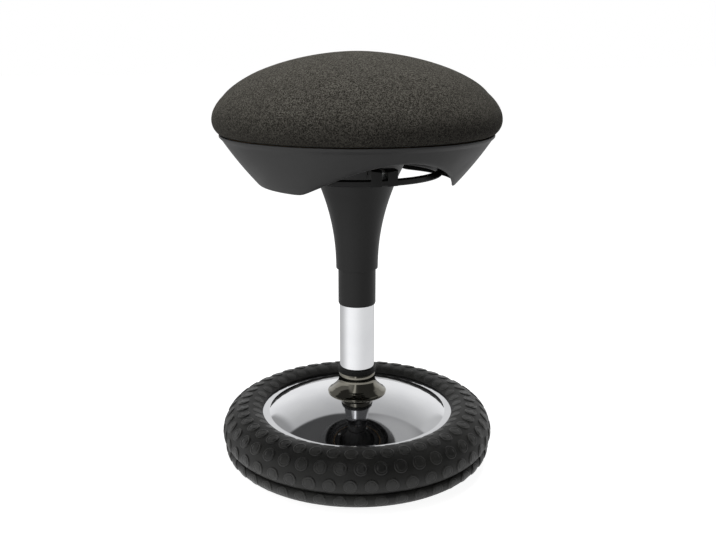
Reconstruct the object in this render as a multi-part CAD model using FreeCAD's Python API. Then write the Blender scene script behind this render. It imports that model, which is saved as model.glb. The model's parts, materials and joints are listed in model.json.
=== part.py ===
import FreeCAD, Part
import math
import os

# A height-adjustable wobble stool, in millimetres, +Z up, standing on z = 0.
# The front, where the release ring is pulled, faces -Y. The column is at the
# top of its travel. Heights are worked out upwards from the floor: rocking
# sole, base plate, column, and then the seat that the gas cylinder carries.

# Rocking base
TYRE_R = 198.0
TYRE_WIDEST_Z = 50.0
TYRE_CROWN_Z = 84.5
TYRE_CROWN_R = TYRE_R - 38
TYRE_OPEN_R = TYRE_R - 58   # the hole of the tyre, which shows the chrome dome
GROOVE_R = TYRE_R - 8.5
SOLE_R = TYRE_R - 4
SOLE_BAND_H = 34.5      # height of the parting groove between sole and tyre
SOLE_T = 14.0
SOLE_STEP = 8.0         # the sole is this much thicker outside the base plate
FLAT_R = 60.0           # flat middle of the sole, so that the empty stool stands still
ROCKER_END_R = TYRE_R - 22  # where the convex sole turns up into its outer band
ROCKER_RISE = 11.3      # height of the sole there
CORE_R = TYRE_R - 14
CORE_WALL = 3.0
CORE_INNER_R = TYRE_R - 72
CORE_RIBS = 16          # every second rib runs into a screw boss
CORE_RIB_T = 2.4
PLATE_R = TYRE_R - 48
PLATE_T = 5.0
PLATE_HOLE_R = 16.0
SOLE_SCREWS = 8
SOLE_SCREW_R = PLATE_R - 13
SOLE_SCREW_D = 5.0
SOLE_SCREW_L = 34.0

# Chrome dome and the bell-shaped collar on it
DOME_RIM_R = TYRE_OPEN_R - 10
DOME_FLANGE_R = TYRE_OPEN_R + 3
DOME_FLANGE_Z = 74.2
DOME_RISE = 30.0
SHEET = 1.2
BELL_NECK_Z = 133.0
SEAL_H = 9.0
SEAL_T = 2.4

# Column, its socket and the thrust bearing in its foot
COLUMN_D = 50.0
COLUMN_R = COLUMN_D / 2
BELL_R = COLUMN_R + 17.8
COLUMN_WALL = 1.8
COLUMN_L = 242.0
FOOT_GAP = 1.0          # the column's foot stays this far above the base plate
SOCKET_H = 60.0
SOCKET_WALL = 4.5
SOCKET_FOOT_R = COLUMN_R + 20
SOCKET_FOOT_T = 4.0
GUSSETS = 4
GUSSET_R = COLUMN_R + 53
GUSSET_H = 42.0
GUSSET_T = 4.0
TAPER = 0.025           # radius lost per millimetre of height on both tapered seats
FLOOR_UP = 8.0          # the column's inner floor lies this far above its foot
FLOOR_T = 3.0
BUSH_L = 75.0
BUSH_LIP = 2.5
RACE_T = 2.0
RACE_R = 13.0
BALLS = 12
BALL_D = 4.0
BALL_CIRCLE_R = 9.3
CAGE_T = 1.6
BUMPER_H = 10.0
BUMPER_R = 12.0

# Gas spring
TRAVEL = 130.0
LANDING_GAP = 1.0       # cylinder above its rubber stop at the bottom of the travel
CYLINDER_D = 28.0
CYLINDER_R = CYLINDER_D / 2
CYLINDER_WALL = 2.0
BORE_R = CYLINDER_R - CYLINDER_WALL
ROD_D = 10.0
ROD_R = ROD_D / 2
NECK_D = 8.0
NECK_R = NECK_D / 2
CLIP_T = 1.2
CLIP_OUT = 3.5          # how far the foot's clip stands out of the neck
CLIP_MOUTH = 4.4
CLIP_WASHER_T = 1.0
CLIP_GROOVE_R = NECK_R - 0.8
GUIDE_H = 13.0
PISTON_H = 12.0
PISTON_GAP = 2.0
NUT_R = 7.2             # corners of the piston's nut
NUT_H = 4.0
SEAL_RING = 3.0
VALVE_D = 16.0
VALVE_H = 22.0
VALVE_FLANGE_H = 6.0
BUTTON_D = 6.0
BUTTON_OUT = 5.3        # how far the button stands out of the cylinder

# Seat plate, hub and release lever
TOP_GAP = 23.0          # hub to column at the bottom of the travel
HUB_H = 35.0
HUB_R = CYLINDER_R + 6
LEVER_SPACE = 18.0      # cylinder top to the underside of the seat pan
DISH_DEPTH = 23.0
DISH_FLOOR_R = 68.0
DISH_TOP_R = 77.0
DISH_T = 3.0
PAN_BOLTS = 4
PAN_BOLT_R = 92.0
PAN_BOLT_D = 6.0
BOLT_HEAD_R = 5.8       # corners of the bolt's head
BOLT_HEAD_H = 4.2
TEE_R = 4.0
TEE_FLANGE_R = 9.0
TEE_FLANGE_T = 1.5
PIVOT_Y = -28.0
PIVOT_D = 5.0
LEVER_W = 14.0
LEVER_T = 4.0
LEVER_BEND_Y = -56.0
TONGUE_W = 7.4
EYE_R = 5.2
BRACKET_T = 3.0
EAR_T = 2.5
EAR_W = 16.0

# Release ring
RING_R = 118.0
RING_T = 7.0
RING_H = 9.0
RING_Z_DOWN = 41.0      # middle of the ring below the seat pan
LUG_W = 14.0
LUG_D = 21.0
LUG_UP = 12.0           # top of a lug above the ring
LINK_R = RING_R - 16    # both ring pins lie this far from the middle
FLANGE_R = LINK_R + 4   # the seat plate's rim, which carries the ring's rear bracket
LINK_Z_UP = 11.0        # and this far above the middle of the ring
LINK_D = 4.0
SLOT_RUN = 3.0          # length of the slot that the ring's pin slides in

# Telescoping covers
SLEEVE_R = COLUMN_R + 1.8
SLEEVE_WALL = 1.3
FUNNEL_H = 157.0
FUNNEL_LOW_R = SLEEVE_R + 3
FUNNEL_TOP_R = 70.0
FUNNEL_WALL = 2.0
FUNNEL_TOP_T = 3.0
FUNNEL_SCREWS = 3
FUNNEL_SCREW_R = 45.0
FUNNEL_SCREW_D = 3.0
FUNNEL_LIP = 3.0
SLEEVE_LAP = 25.0       # the sleeve hides this much of the column's top

# Seat
SEAT_R = 198.5
SEAT_BULGE = 20.5       # seam to the widest level of the cushion
SEAT_CROWN = 86.6       # widest level of the cushion to its top
CROWN_POWER = 1.83      # 2 would be an ellipse; less is more pointed
SEAM_R = SEAT_R - 10.5
SEAM_UP = 11.5          # seam above the underside of the pan
COVER_T = 1.5
PAN_R = SEAM_R - 12
PAN_T = 12.0
SHELL_H = 68.0
SHELL_LOW_R = SEAM_R - 51.5
SHELL_WALL = 2.8
SHELL_WEB_T = 3.0
SHELL_WEB_R = FLANGE_R + 4
SHELL_RIM_H = 2.6
SHELL_RIM_STEP = 4.0
SHELL_SCREWS = 6
SHELL_SCREW_R = PAN_R - 18
SHELL_SCREW_D = 4.0
SHELL_RIBS = 12
SHELL_RIB_T = 2.0
SHELL_RIB_H = 17.0
ARCH_R = 145.0          # radius of the two hand openings
ARCH_DOWN = 26.0        # top of a hand opening below the seam

# Clearances
SLIDE_GAP = 0.05        # running fits: rod, piston, button, pins, bush
SEAT_GAP = 0.3          # loose seats
HOLE_GAP = 0.3          # radial, round screws and bolts

# Heights
PLATE_Z = SOLE_T
PLATE_TOP = PLATE_Z + PLATE_T
CORE_FOOT_Z = SOLE_T + SOLE_STEP
COLUMN_Z = PLATE_TOP + FOOT_GAP
COLUMN_TOP = COLUMN_Z + COLUMN_L
SOCKET_TOP = PLATE_TOP + SOCKET_H
FLOOR_Z = COLUMN_Z + FLOOR_UP
CLIP_Z = FLOOR_Z - 0.1 - CLIP_WASHER_T - CLIP_T
FLOOR_TOP = FLOOR_Z + FLOOR_T
BALL_Z = FLOOR_TOP + RACE_T + SLIDE_GAP + BALL_D / 2
RACE_TOP_Z = BALL_Z + BALL_D / 2 + SLIDE_GAP
SHOULDER_Z = RACE_TOP_Z + RACE_T
HUB_Z = COLUMN_TOP + TRAVEL + TOP_GAP
HUB_TOP = HUB_Z + HUB_H
CYLINDER_TOP = HUB_TOP + 2.0
CYLINDER_Z = SHOULDER_Z + BUMPER_H + LANDING_GAP + TRAVEL
PISTON_Z = CYLINDER_Z + 1.0 + GUIDE_H + PISTON_GAP
BUTTON_TOP = CYLINDER_TOP + BUTTON_OUT
PAN_Z = CYLINDER_TOP + LEVER_SPACE
DISH_Z = PAN_Z - DISH_DEPTH
FLANGE_Z = PAN_Z - DISH_T
LEVER_Z = BUTTON_TOP + 0.5 + LEVER_T / 2
RING_Z = PAN_Z - RING_Z_DOWN
LINK_Z = RING_Z + LINK_Z_UP
FUNNEL_TOP = DISH_Z
FUNNEL_Z = FUNNEL_TOP - FUNNEL_H
SLEEVE_Z = COLUMN_TOP - SLEEVE_LAP
SEAM_Z = PAN_Z + SEAM_UP
SEAT_Z = SEAM_Z + SEAT_BULGE
SHELL_Z = SEAM_Z - SHELL_H


# Tools for outlines and solids

def vec(x=0.0, y=0.0, z=0.0):
    return FreeCAD.Vector(x, y, z)


UP = vec(0, 0, 1)


class Bow:
    """An arc to the corner (r, z) that passes through (mid_r, mid_z)."""

    def __init__(self, mid_r, mid_z, r, z):
        self.mid = vec(mid_r, 0, mid_z)
        self.end = vec(r, 0, z)


class Curve:
    """A smooth curve through the listed (r, z) points, from the corner before it."""

    def __init__(self, points):
        self.points = [vec(r, 0, z) for r, z in points]
        self.end = self.points[-1]


def outline(steps):
    """Closed face in the XZ plane. A step is a corner (r, z), a Bow or a Curve."""
    first = steps[0]
    here = vec(first[0], 0, first[1])
    start = here
    edges = []
    for step in list(steps[1:]) + [first]:
        if isinstance(step, Bow):
            edges.append(Part.Arc(here, step.mid, step.end).toShape())
            here = step.end
        elif isinstance(step, Curve):
            spline = Part.BSplineCurve()
            spline.interpolate([here] + step.points)
            edges.append(spline.toShape())
            here = step.end
        else:
            corner = vec(step[0], 0, step[1])
            if (corner - here).Length > 1e-6:
                edges.append(Part.LineSegment(here, corner).toShape())
                here = corner
    if (here - start).Length > 1e-6:
        raise ValueError("the outline is open")
    return Part.Face(Part.Wire(edges))


def turned(steps):
    """Solid of revolution about Z of an outline in (r, z)."""
    return outline(steps).revolve(vec(), UP, 360)


def ring(inner, outer, low, high):
    """Round disc or ring between two heights."""
    steps = [(inner, low), (outer, low), (outer, high), (inner, high)]
    return turned(steps)


def rod(radius, low, high, x=0.0, y=0.0):
    """Upright round bar at (x, y)."""
    return Part.makeCylinder(radius, high - low, vec(x, y, low), UP)


def cross_pin(radius, half, y, z):
    """Round pin along X, centred on x = 0."""
    return Part.makeCylinder(radius, 2 * half, vec(-half, y, z), vec(1, 0, 0))


def block(x0, x1, y0, y1, z0, z1):
    return Part.makeBox(x1 - x0, y1 - y0, z1 - z0, vec(x0, y0, z0))


def hexagon(corner_r, low, high, x=0.0):
    """Upright six-sided prism at (x, 0)."""
    corners = []
    for i in range(7):
        angle = math.radians(60 * i)
        corners.append(vec(x + corner_r * math.cos(angle), corner_r * math.sin(angle), low))
    return Part.Face(Part.makePolygon(corners)).extrude(vec(0, 0, high - low))


def side_plate(points, half):
    """Plate of a given half width, from an outline of (y, z) corners."""
    corners = [vec(-half, y, z) for y, z in points]
    face = Part.Face(Part.makePolygon(corners + corners[:1]))
    return face.extrude(vec(2 * half, 0, 0))


def turned_to(shape, angle):
    copy = shape.copy()
    copy.rotate(vec(), UP, angle)
    return copy


def around(shape, count, first=0.0):
    """Copies of a shape spread evenly about Z."""
    return [turned_to(shape, first + 360.0 * i / count) for i in range(count)]


def fused(shapes):
    body = shapes[0]
    return body.multiFuse(shapes[1:]).removeSplitter()


def grouped(shapes):
    return Part.makeCompound(shapes)


# Rocking base

def rocker_z(r):
    """Height of the convex sole's underside at radius r."""
    run = ROCKER_END_R - FLAT_R
    radius = (run ** 2 + ROCKER_RISE ** 2) / (2 * ROCKER_RISE)
    return radius - math.sqrt(radius ** 2 - (r - FLAT_R) ** 2)


def rocker_sole():
    """Rubber sole: flat middle, convex tread, outer band up to the parting groove."""
    middle_r = (FLAT_R + ROCKER_END_R) / 2
    steps = [(0, 0), (FLAT_R, 0)]
    steps.append(Bow(middle_r, rocker_z(middle_r), ROCKER_END_R, rocker_z(ROCKER_END_R)))
    steps.append(Bow(SOLE_R - 4, SOLE_BAND_H * 0.53, SOLE_R, SOLE_BAND_H - 7.5))
    steps.append(Bow(SOLE_R - 1, SOLE_BAND_H - 2.6, GROOVE_R, SOLE_BAND_H))
    steps += [(CORE_R, SOLE_BAND_H), (CORE_R, CORE_FOOT_Z)]
    steps += [(PLATE_R + SEAT_GAP, CORE_FOOT_Z), (PLATE_R + SEAT_GAP, PLATE_Z), (0, PLATE_Z)]
    hole = rod(SOLE_SCREW_D / 2 + HOLE_GAP, -1, PLATE_Z + 1, SOLE_SCREW_R)
    recess = rod(SOLE_SCREW_D + 1.5, -1, sole_seat_z(), SOLE_SCREW_R)
    return turned(steps).cut(around(hole.fuse(recess), SOLE_SCREWS))


def sole_seat_z():
    """Level in the sole that the screw heads bear on."""
    return rocker_z(SOLE_SCREW_R) + (PLATE_Z - rocker_z(SOLE_SCREW_R)) * 0.5


def sole_screws():
    """Pan-head screws from below, through sole and plate into the core."""
    head_z = sole_seat_z()
    shank = rod(SOLE_SCREW_D / 2, head_z, head_z + SOLE_SCREW_L, SOLE_SCREW_R)
    head = rod(SOLE_SCREW_D, head_z - 3, head_z, SOLE_SCREW_R)
    socket = rod(SOLE_SCREW_D * 0.32, head_z - 3.1, head_z - 1.2, SOLE_SCREW_R)
    return grouped(around(shank.fuse(head).cut(socket), SOLE_SCREWS))


def tyre_inner():
    """Inner line of the tyre, which is the outer line of its core, upwards."""
    knee_z = TYRE_WIDEST_Z + 2
    top_z = TYRE_CROWN_Z - 7.5
    bow_r = (CORE_R + TYRE_CROWN_R) / 2 + 4.6
    bow_z = (knee_z + top_z) / 2 + 5.6
    lip_r = DOME_FLANGE_R + CORE_WALL
    return [(CORE_R, knee_z), Bow(bow_r, bow_z, TYRE_CROWN_R, top_z), (lip_r, DOME_FLANGE_Z)]


def tyre():
    """Rubber tyre over the core, with a lip on the dome's flange."""
    steps = [(TYRE_OPEN_R, DOME_FLANGE_Z + 0.05)]
    steps.append(Bow(TYRE_OPEN_R + 7, TYRE_CROWN_Z - 3.6, TYRE_CROWN_R, TYRE_CROWN_Z))
    steps.append(Bow(TYRE_R - 15, TYRE_CROWN_Z - 7.3, TYRE_R - 2.5, TYRE_WIDEST_Z + 10))
    steps.append(Bow(TYRE_R, TYRE_WIDEST_Z, TYRE_R - 2, TYRE_WIDEST_Z - 9))
    steps.append(Bow(TYRE_R - 4, SOLE_BAND_H + 2.8, GROOVE_R, SOLE_BAND_H))
    steps += [(CORE_R, SOLE_BAND_H)] + tyre_inner()
    steps.append((DOME_FLANGE_R + CORE_WALL, DOME_FLANGE_Z + 0.05))
    return turned(steps)


def tyre_core():
    """Ribbed moulding that fills the tyre and joins it to the plate and the dome."""
    knee_z = TYRE_WIDEST_Z + 2
    top_z = TYRE_CROWN_Z - 7.5
    wall = CORE_WALL
    ledge_z = DOME_FLANGE_Z - SHEET
    outer = [(CORE_R - wall, CORE_FOOT_Z), (CORE_R, CORE_FOOT_Z)] + tyre_inner()
    outer += [(DOME_FLANGE_R + SEAT_GAP, DOME_FLANGE_Z), (DOME_FLANGE_R + SEAT_GAP, ledge_z)]
    outer += [(CORE_INNER_R, ledge_z), (CORE_INNER_R, PLATE_TOP), (CORE_INNER_R + wall, PLATE_TOP)]
    cavity_bow = Bow((CORE_R + TYRE_CROWN_R) / 2 + 2.6, (knee_z + top_z) / 2 + 3.4,
                     CORE_R - wall, knee_z)
    cavity = [(CORE_INNER_R + wall, PLATE_TOP), (CORE_INNER_R + wall, ledge_z - wall)]
    cavity += [(DOME_FLANGE_R + wall, ledge_z - wall), (TYRE_CROWN_R, top_z - wall), cavity_bow]
    inside = list(cavity) + [(CORE_R - wall, CORE_FOOT_Z)]
    inside += [(PLATE_R, CORE_FOOT_Z), (PLATE_R, PLATE_TOP)]
    shell = turned(outer[:-1] + cavity)
    rib = block(CORE_INNER_R, CORE_R, -CORE_RIB_T / 2, CORE_RIB_T / 2, PLATE_TOP, TYRE_CROWN_Z)
    boss = rod(SOLE_SCREW_D / 2 + 3.5, PLATE_TOP, sole_seat_z() + SOLE_SCREW_L + 4, SOLE_SCREW_R)
    room = turned(inside)
    inner = [room.common(piece) for piece in around(rib, CORE_RIBS)]
    inner += around(boss, SOLE_SCREWS)
    pilot = rod(SOLE_SCREW_D / 2, PLATE_TOP - 1, sole_seat_z() + SOLE_SCREW_L + 1, SOLE_SCREW_R)
    body = fused([shell] + inner)
    return body.cut(around(pilot, SOLE_SCREWS))


def base_plate():
    """Steel disc that carries the column's socket and weighs the base down."""
    plate = ring(PLATE_HOLE_R, PLATE_R, PLATE_Z, PLATE_TOP)
    hole = rod(SOLE_SCREW_D / 2 + HOLE_GAP, PLATE_Z - 1, PLATE_TOP + 1, SOLE_SCREW_R)
    return plate.cut(around(hole, SOLE_SCREWS))


def foot_r(z):
    """Outer radius of the column at height z: tapered inside its socket."""
    return COLUMN_R - max(0.0, SOCKET_TOP - z) * TAPER


def hub_socket():
    """Tapered socket on the base plate, stiffened by gussets."""
    wall_r = COLUMN_R + SOCKET_WALL
    steps = [(foot_r(PLATE_TOP), PLATE_TOP), (SOCKET_FOOT_R, PLATE_TOP)]
    steps += [(SOCKET_FOOT_R, PLATE_TOP + SOCKET_FOOT_T), (wall_r, PLATE_TOP + SOCKET_FOOT_T)]
    steps += [(wall_r, SOCKET_TOP - 1), (wall_r - 1, SOCKET_TOP), (foot_r(SOCKET_TOP), SOCKET_TOP)]
    corners = [vec(wall_r - 1, -GUSSET_T / 2, PLATE_TOP), vec(GUSSET_R, -GUSSET_T / 2, PLATE_TOP),
               vec(GUSSET_R, -GUSSET_T / 2, PLATE_TOP + 8),
               vec(wall_r - 1, -GUSSET_T / 2, PLATE_TOP + GUSSET_H)]
    gusset = Part.Face(Part.makePolygon(corners + corners[:1])).extrude(vec(0, GUSSET_T, 0))
    return fused([turned(steps)] + around(gusset, GUSSETS, 45.0))


# Chrome dome and collar

def dome_z(r):
    """Height of the dome's outer face: a cap that rises DOME_RISE above its rim."""
    sphere = (DOME_RIM_R ** 2 + DOME_RISE ** 2) / (2 * DOME_RISE)
    return DOME_FLANGE_Z + DOME_RISE - sphere + math.sqrt(sphere ** 2 - r ** 2)


def dome_cover():
    """Pressed chrome dome with a flat flange under the tyre's lip."""
    hole_r = COLUMN_R + SEAT_GAP
    mid_r = (DOME_RIM_R + hole_r) / 2
    steps = [(hole_r, dome_z(hole_r) - SHEET), (hole_r, dome_z(hole_r))]
    steps.append(Bow(mid_r, dome_z(mid_r), DOME_RIM_R, DOME_FLANGE_Z))
    steps += [(DOME_FLANGE_R, DOME_FLANGE_Z), (DOME_FLANGE_R, DOME_FLANGE_Z - SHEET)]
    steps.append((DOME_RIM_R - 0.3, DOME_FLANGE_Z - SHEET))
    steps.append(Bow(mid_r, dome_z(mid_r) - SHEET, hole_r, dome_z(hole_r) - SHEET))
    return turned(steps)


def bell_line(inset):
    """Flank of the bell from its neck down to its rim, moved in by inset."""
    neck_r = COLUMN_R + SEAT_GAP + SHEET
    rim_z = dome_z(BELL_R - SHEET) + 0.05
    fall = BELL_NECK_Z - rim_z
    line = [(neck_r, BELL_NECK_Z - fall * 0.31), (neck_r + 3.8, rim_z + fall * 0.36)]
    line += [(neck_r + 10, rim_z + fall * 0.22), (BELL_R - 1.2, rim_z + fall * 0.115)]
    line.append((BELL_R, rim_z))
    moved = [(r - inset, z - inset * 0.7) for r, z in line]
    moved[0] = (neck_r - inset, line[0][1])
    moved[-1] = (BELL_R - inset, rim_z)
    return moved


def collar_cover():
    """Chrome bell that hides where the column passes through the dome."""
    neck_r = COLUMN_R + SEAT_GAP + SHEET
    outer = bell_line(0)
    inner = bell_line(SHEET)
    steps = [(neck_r - SHEET, BELL_NECK_Z), (neck_r, BELL_NECK_Z), Curve(outer), inner[-1]]
    steps.append(Curve(inner[-2::-1] + [(neck_r - SHEET, BELL_NECK_Z)]))
    return turned(steps)


def collar_seal():
    """Black rubber ring round the column, on top of the bell."""
    top = BELL_NECK_Z + SEAL_H
    outer = COLUMN_R + SEAL_T
    steps = [(COLUMN_R, BELL_NECK_Z), (outer, BELL_NECK_Z), (outer, top - 2)]
    steps += [Bow(outer - 0.4, top - 0.6, outer - 1.4, top), (COLUMN_R, top)]
    return turned(steps)


# Column and thrust bearing

def column_tube():
    """Chrome outer tube with a tapered foot and an inner floor for the bearing."""
    wall = COLUMN_WALL
    steps = [(foot_r(COLUMN_Z), COLUMN_Z), (COLUMN_R, SOCKET_TOP), (COLUMN_R, COLUMN_TOP - 0.6)]
    steps += [(COLUMN_R - 0.6, COLUMN_TOP), (COLUMN_R - wall, COLUMN_TOP)]
    steps += [(COLUMN_R - wall, SOCKET_TOP), (foot_r(FLOOR_TOP) - wall, FLOOR_TOP)]
    steps += [(NECK_R + HOLE_GAP, FLOOR_TOP), (NECK_R + HOLE_GAP, FLOOR_Z)]
    steps += [(foot_r(FLOOR_Z) - wall, FLOOR_Z), (foot_r(COLUMN_Z) - wall, COLUMN_Z)]
    return turned(steps)


def guide_bush():
    """Plastic liner at the top of the column, in which the gas cylinder slides."""
    bore = CYLINDER_R + SLIDE_GAP
    lip_r = COLUMN_R - 0.6
    inside = COLUMN_R - COLUMN_WALL
    low = COLUMN_TOP - BUSH_L
    steps = [(bore + 1, low), (inside, low), (inside, COLUMN_TOP), (lip_r, COLUMN_TOP)]
    steps += [(lip_r, COLUMN_TOP + BUSH_LIP), (bore + 1, COLUMN_TOP + BUSH_LIP)]
    steps += [(bore, COLUMN_TOP + BUSH_LIP - 1), (bore, low + 1)]
    return turned(steps)


def bearing_lower_race():
    return ring(NECK_R + HOLE_GAP, RACE_R, FLOOR_TOP, FLOOR_TOP + RACE_T)


def bearing_upper_race():
    return ring(NECK_R, RACE_R, RACE_TOP_Z, RACE_TOP_Z + RACE_T)


def bearing_balls():
    ball = Part.makeSphere(BALL_D / 2, vec(BALL_CIRCLE_R, 0, BALL_Z))
    return grouped(around(ball, BALLS))


def ball_cage():
    """Plastic ring that keeps the balls apart."""
    half = CAGE_T / 2
    flat = ring(NECK_R + 2 * HOLE_GAP, RACE_R - 0.5, BALL_Z - half, BALL_Z + half)
    hole = rod(BALL_D / 2 + SLIDE_GAP, BALL_Z - half - 1, BALL_Z + half + 1, BALL_CIRCLE_R)
    return flat.cut(around(hole, BALLS))


def end_bumper():
    """Rubber ring that the cylinder lands on at the bottom of its travel."""
    waist_r = BUMPER_R - 1.5
    top = SHOULDER_Z + BUMPER_H
    steps = [(ROD_R, SHOULDER_Z), (BUMPER_R, SHOULDER_Z)]
    steps += [Bow(waist_r, (SHOULDER_Z + top) / 2, BUMPER_R, top), (ROD_R, top)]
    return turned(steps)


# Gas spring

def piston_rod():
    """Rod with a necked foot for the clip and a necked top for the piston."""
    nut_top = PISTON_Z + PISTON_H + NUT_H + 0.5
    steps = [(0, CLIP_Z - 3), (NECK_R - 0.6, CLIP_Z - 3), (NECK_R, CLIP_Z - 2.4), (NECK_R, CLIP_Z)]
    steps += [(CLIP_GROOVE_R, CLIP_Z), (CLIP_GROOVE_R, CLIP_Z + CLIP_T), (NECK_R, CLIP_Z + CLIP_T)]
    steps += [(NECK_R, SHOULDER_Z), (ROD_R, SHOULDER_Z), (ROD_R, PISTON_Z), (NECK_R, PISTON_Z)]
    steps += [(NECK_R, nut_top), (0, nut_top)]
    return turned(steps)


def rod_clip():
    """Open clip in the groove of the rod's foot."""
    top = CLIP_Z + CLIP_T
    clip = ring(CLIP_GROOVE_R, NECK_R + CLIP_OUT, CLIP_Z, top)
    half = CLIP_MOUTH / 2
    return clip.cut(block(0, NECK_R + CLIP_OUT + 1, -half, half, CLIP_Z - 1, top + 1))


def clip_washer():
    """Washer between the clip and the column's floor."""
    low = CLIP_Z + CLIP_T
    return ring(NECK_R, NECK_R + CLIP_OUT + 1.5, low, low + CLIP_WASHER_T)


def seal_groove():
    middle = PISTON_Z + PISTON_H / 2
    return (BORE_R - 2.0, middle - SEAL_RING / 2, middle + SEAL_RING / 2)


def piston():
    """Piston with a groove for its seal."""
    groove_r, low, high = seal_groove()
    edge = BORE_R - SLIDE_GAP
    top = PISTON_Z + PISTON_H
    steps = [(NECK_R, PISTON_Z), (edge, PISTON_Z), (edge, low), (groove_r, low)]
    steps += [(groove_r, high), (edge, high), (edge, top), (NECK_R, top)]
    return turned(steps)


def piston_seal():
    groove_r, low, high = seal_groove()
    edge = BORE_R - SLIDE_GAP / 2
    steps = [(groove_r, low), (edge - 0.5, low), Bow(edge, (low + high) / 2, edge - 0.5, high)]
    return turned(steps + [(groove_r, high)])


def piston_nut():
    """Nut that holds the piston on the rod's neck."""
    low = PISTON_Z + PISTON_H
    return hexagon(NUT_R, low, low + NUT_H).cut(rod(NECK_R, low - 1, low + NUT_H + 1))


def hub_taper_r(z):
    """Outer radius of the gas cylinder at height z: tapered inside its hub."""
    return CYLINDER_R - max(0.0, z - HUB_Z) * TAPER


def gas_cylinder():
    """Steel cylinder, open for its guide below and for the valve above."""
    shoulder = CYLINDER_TOP - VALVE_H
    valve_r = VALVE_D / 2
    steps = [(BORE_R, CYLINDER_Z), (CYLINDER_R - 0.8, CYLINDER_Z), (CYLINDER_R, CYLINDER_Z + 0.8)]
    steps += [(CYLINDER_R, HUB_Z), (hub_taper_r(CYLINDER_TOP), CYLINDER_TOP)]
    steps += [(valve_r, CYLINDER_TOP), (valve_r, shoulder), (BORE_R, shoulder)]
    return turned(steps)


def cylinder_guide():
    """Guide and gland that closes the cylinder round the rod."""
    low = CYLINDER_Z + 1.0
    return ring(ROD_R + SLIDE_GAP, BORE_R, low, low + GUIDE_H)


def valve_body():
    """Brass valve in the cylinder's top, with the bore of the button."""
    shoulder = CYLINDER_TOP - VALVE_H
    bore = BUTTON_D / 2 + SLIDE_GAP
    low = shoulder - VALVE_FLANGE_H
    steps = [(bore, low), (BORE_R, low), (BORE_R, shoulder), (VALVE_D / 2, shoulder)]
    steps += [(VALVE_D / 2, CYLINDER_TOP), (bore, CYLINDER_TOP)]
    return turned(steps)


def valve_button():
    """Release button with the collar that stops it in the valve."""
    low = CYLINDER_TOP - VALVE_H - VALVE_FLANGE_H
    radius = BUTTON_D / 2
    steps = [(0, low - 5), (radius + 1.5, low - 5), (radius + 1.5, low - 0.2), (radius, low - 0.2)]
    steps += [(radius, BUTTON_TOP - 0.8), (radius - 0.8, BUTTON_TOP), (0, BUTTON_TOP)]
    return turned(steps)


# Seat plate and hub

def seat_plate():
    """Pressed dish bolted under the pan, with ears for the lever's pivot."""
    top = PAN_Z
    t = DISH_T
    floor_top = DISH_Z + t
    steps = [(HUB_R, DISH_Z), (DISH_FLOOR_R, DISH_Z)]
    steps.append(Bow(DISH_FLOOR_R + 3.6, DISH_Z + 1.6, DISH_FLOOR_R + 5.2, DISH_Z + 5.2))
    steps.append((DISH_TOP_R + t - 0.4, FLANGE_Z - 3))
    steps.append(Bow(DISH_TOP_R + t + 0.9, FLANGE_Z - 0.8, DISH_TOP_R + t + 3, FLANGE_Z))
    steps += [(FLANGE_R, FLANGE_Z), (FLANGE_R, top), (DISH_TOP_R + t, top)]
    steps.append(Bow(DISH_TOP_R - 0.6, top - 1.6, DISH_TOP_R - 2.4, top - 5.2))
    steps.append((DISH_FLOOR_R + 1.2, floor_top + 3))
    steps.append(Bow(DISH_FLOOR_R + 0.4, floor_top + 0.8, DISH_FLOOR_R - 2, floor_top))
    steps.append((HUB_R, floor_top))
    dish = turned(steps)
    slot = block(-LEVER_W / 2 - 1.5, LEVER_W / 2 + 1.5, -DISH_TOP_R - 6, -DISH_FLOOR_R + 4,
                 floor_top, FLANGE_Z - 1)
    bolt = rod(PAN_BOLT_D / 2 + HOLE_GAP, FLANGE_Z - 1, top + 1, PAN_BOLT_R)
    screw = rod(FUNNEL_SCREW_D / 2, DISH_Z - 1, floor_top + 1, FUNNEL_SCREW_R)
    ears = []
    for side in (-1, 1):
        inner = side * (LEVER_W / 2 + 1)
        outer = side * (LEVER_W / 2 + 1 + EAR_T)
        ear = block(min(inner, outer), max(inner, outer), PIVOT_Y - EAR_W / 2,
                    PIVOT_Y + EAR_W / 2, floor_top - 0.5, LEVER_Z)
        cap = Part.makeCylinder(EAR_W / 2, EAR_T, vec(min(inner, outer), PIVOT_Y, LEVER_Z),
                                vec(1, 0, 0))
        ears += [ear, cap.common(block(-40, 40, -90, 0, LEVER_Z - 12, LEVER_Z + EAR_W / 2 - 1.5))]
    holes = around(bolt, PAN_BOLTS, 45.0) + around(screw, FUNNEL_SCREWS, 30.0) + [slot]
    holes.append(cross_pin(PIVOT_D / 2, 20, PIVOT_Y, LEVER_Z))
    return fused([dish] + ears).cut(holes)


def plate_hub():
    """Tapered hub that seats on the gas cylinder."""
    steps = [(hub_taper_r(HUB_Z), HUB_Z), (HUB_R - 2, HUB_Z), (HUB_R, HUB_Z + 2)]
    steps += [(HUB_R, HUB_TOP), (hub_taper_r(HUB_TOP), HUB_TOP)]
    return turned(steps)


def pan_bolts():
    """Hexagon bolts from below into the tee nuts."""
    head = hexagon(BOLT_HEAD_R, FLANGE_Z - BOLT_HEAD_H, FLANGE_Z, PAN_BOLT_R)
    shank = rod(PAN_BOLT_D / 2, FLANGE_Z, PAN_Z + PAN_T - 2, PAN_BOLT_R)
    return grouped(around(head.fuse(shank), PAN_BOLTS, 45.0))


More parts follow.
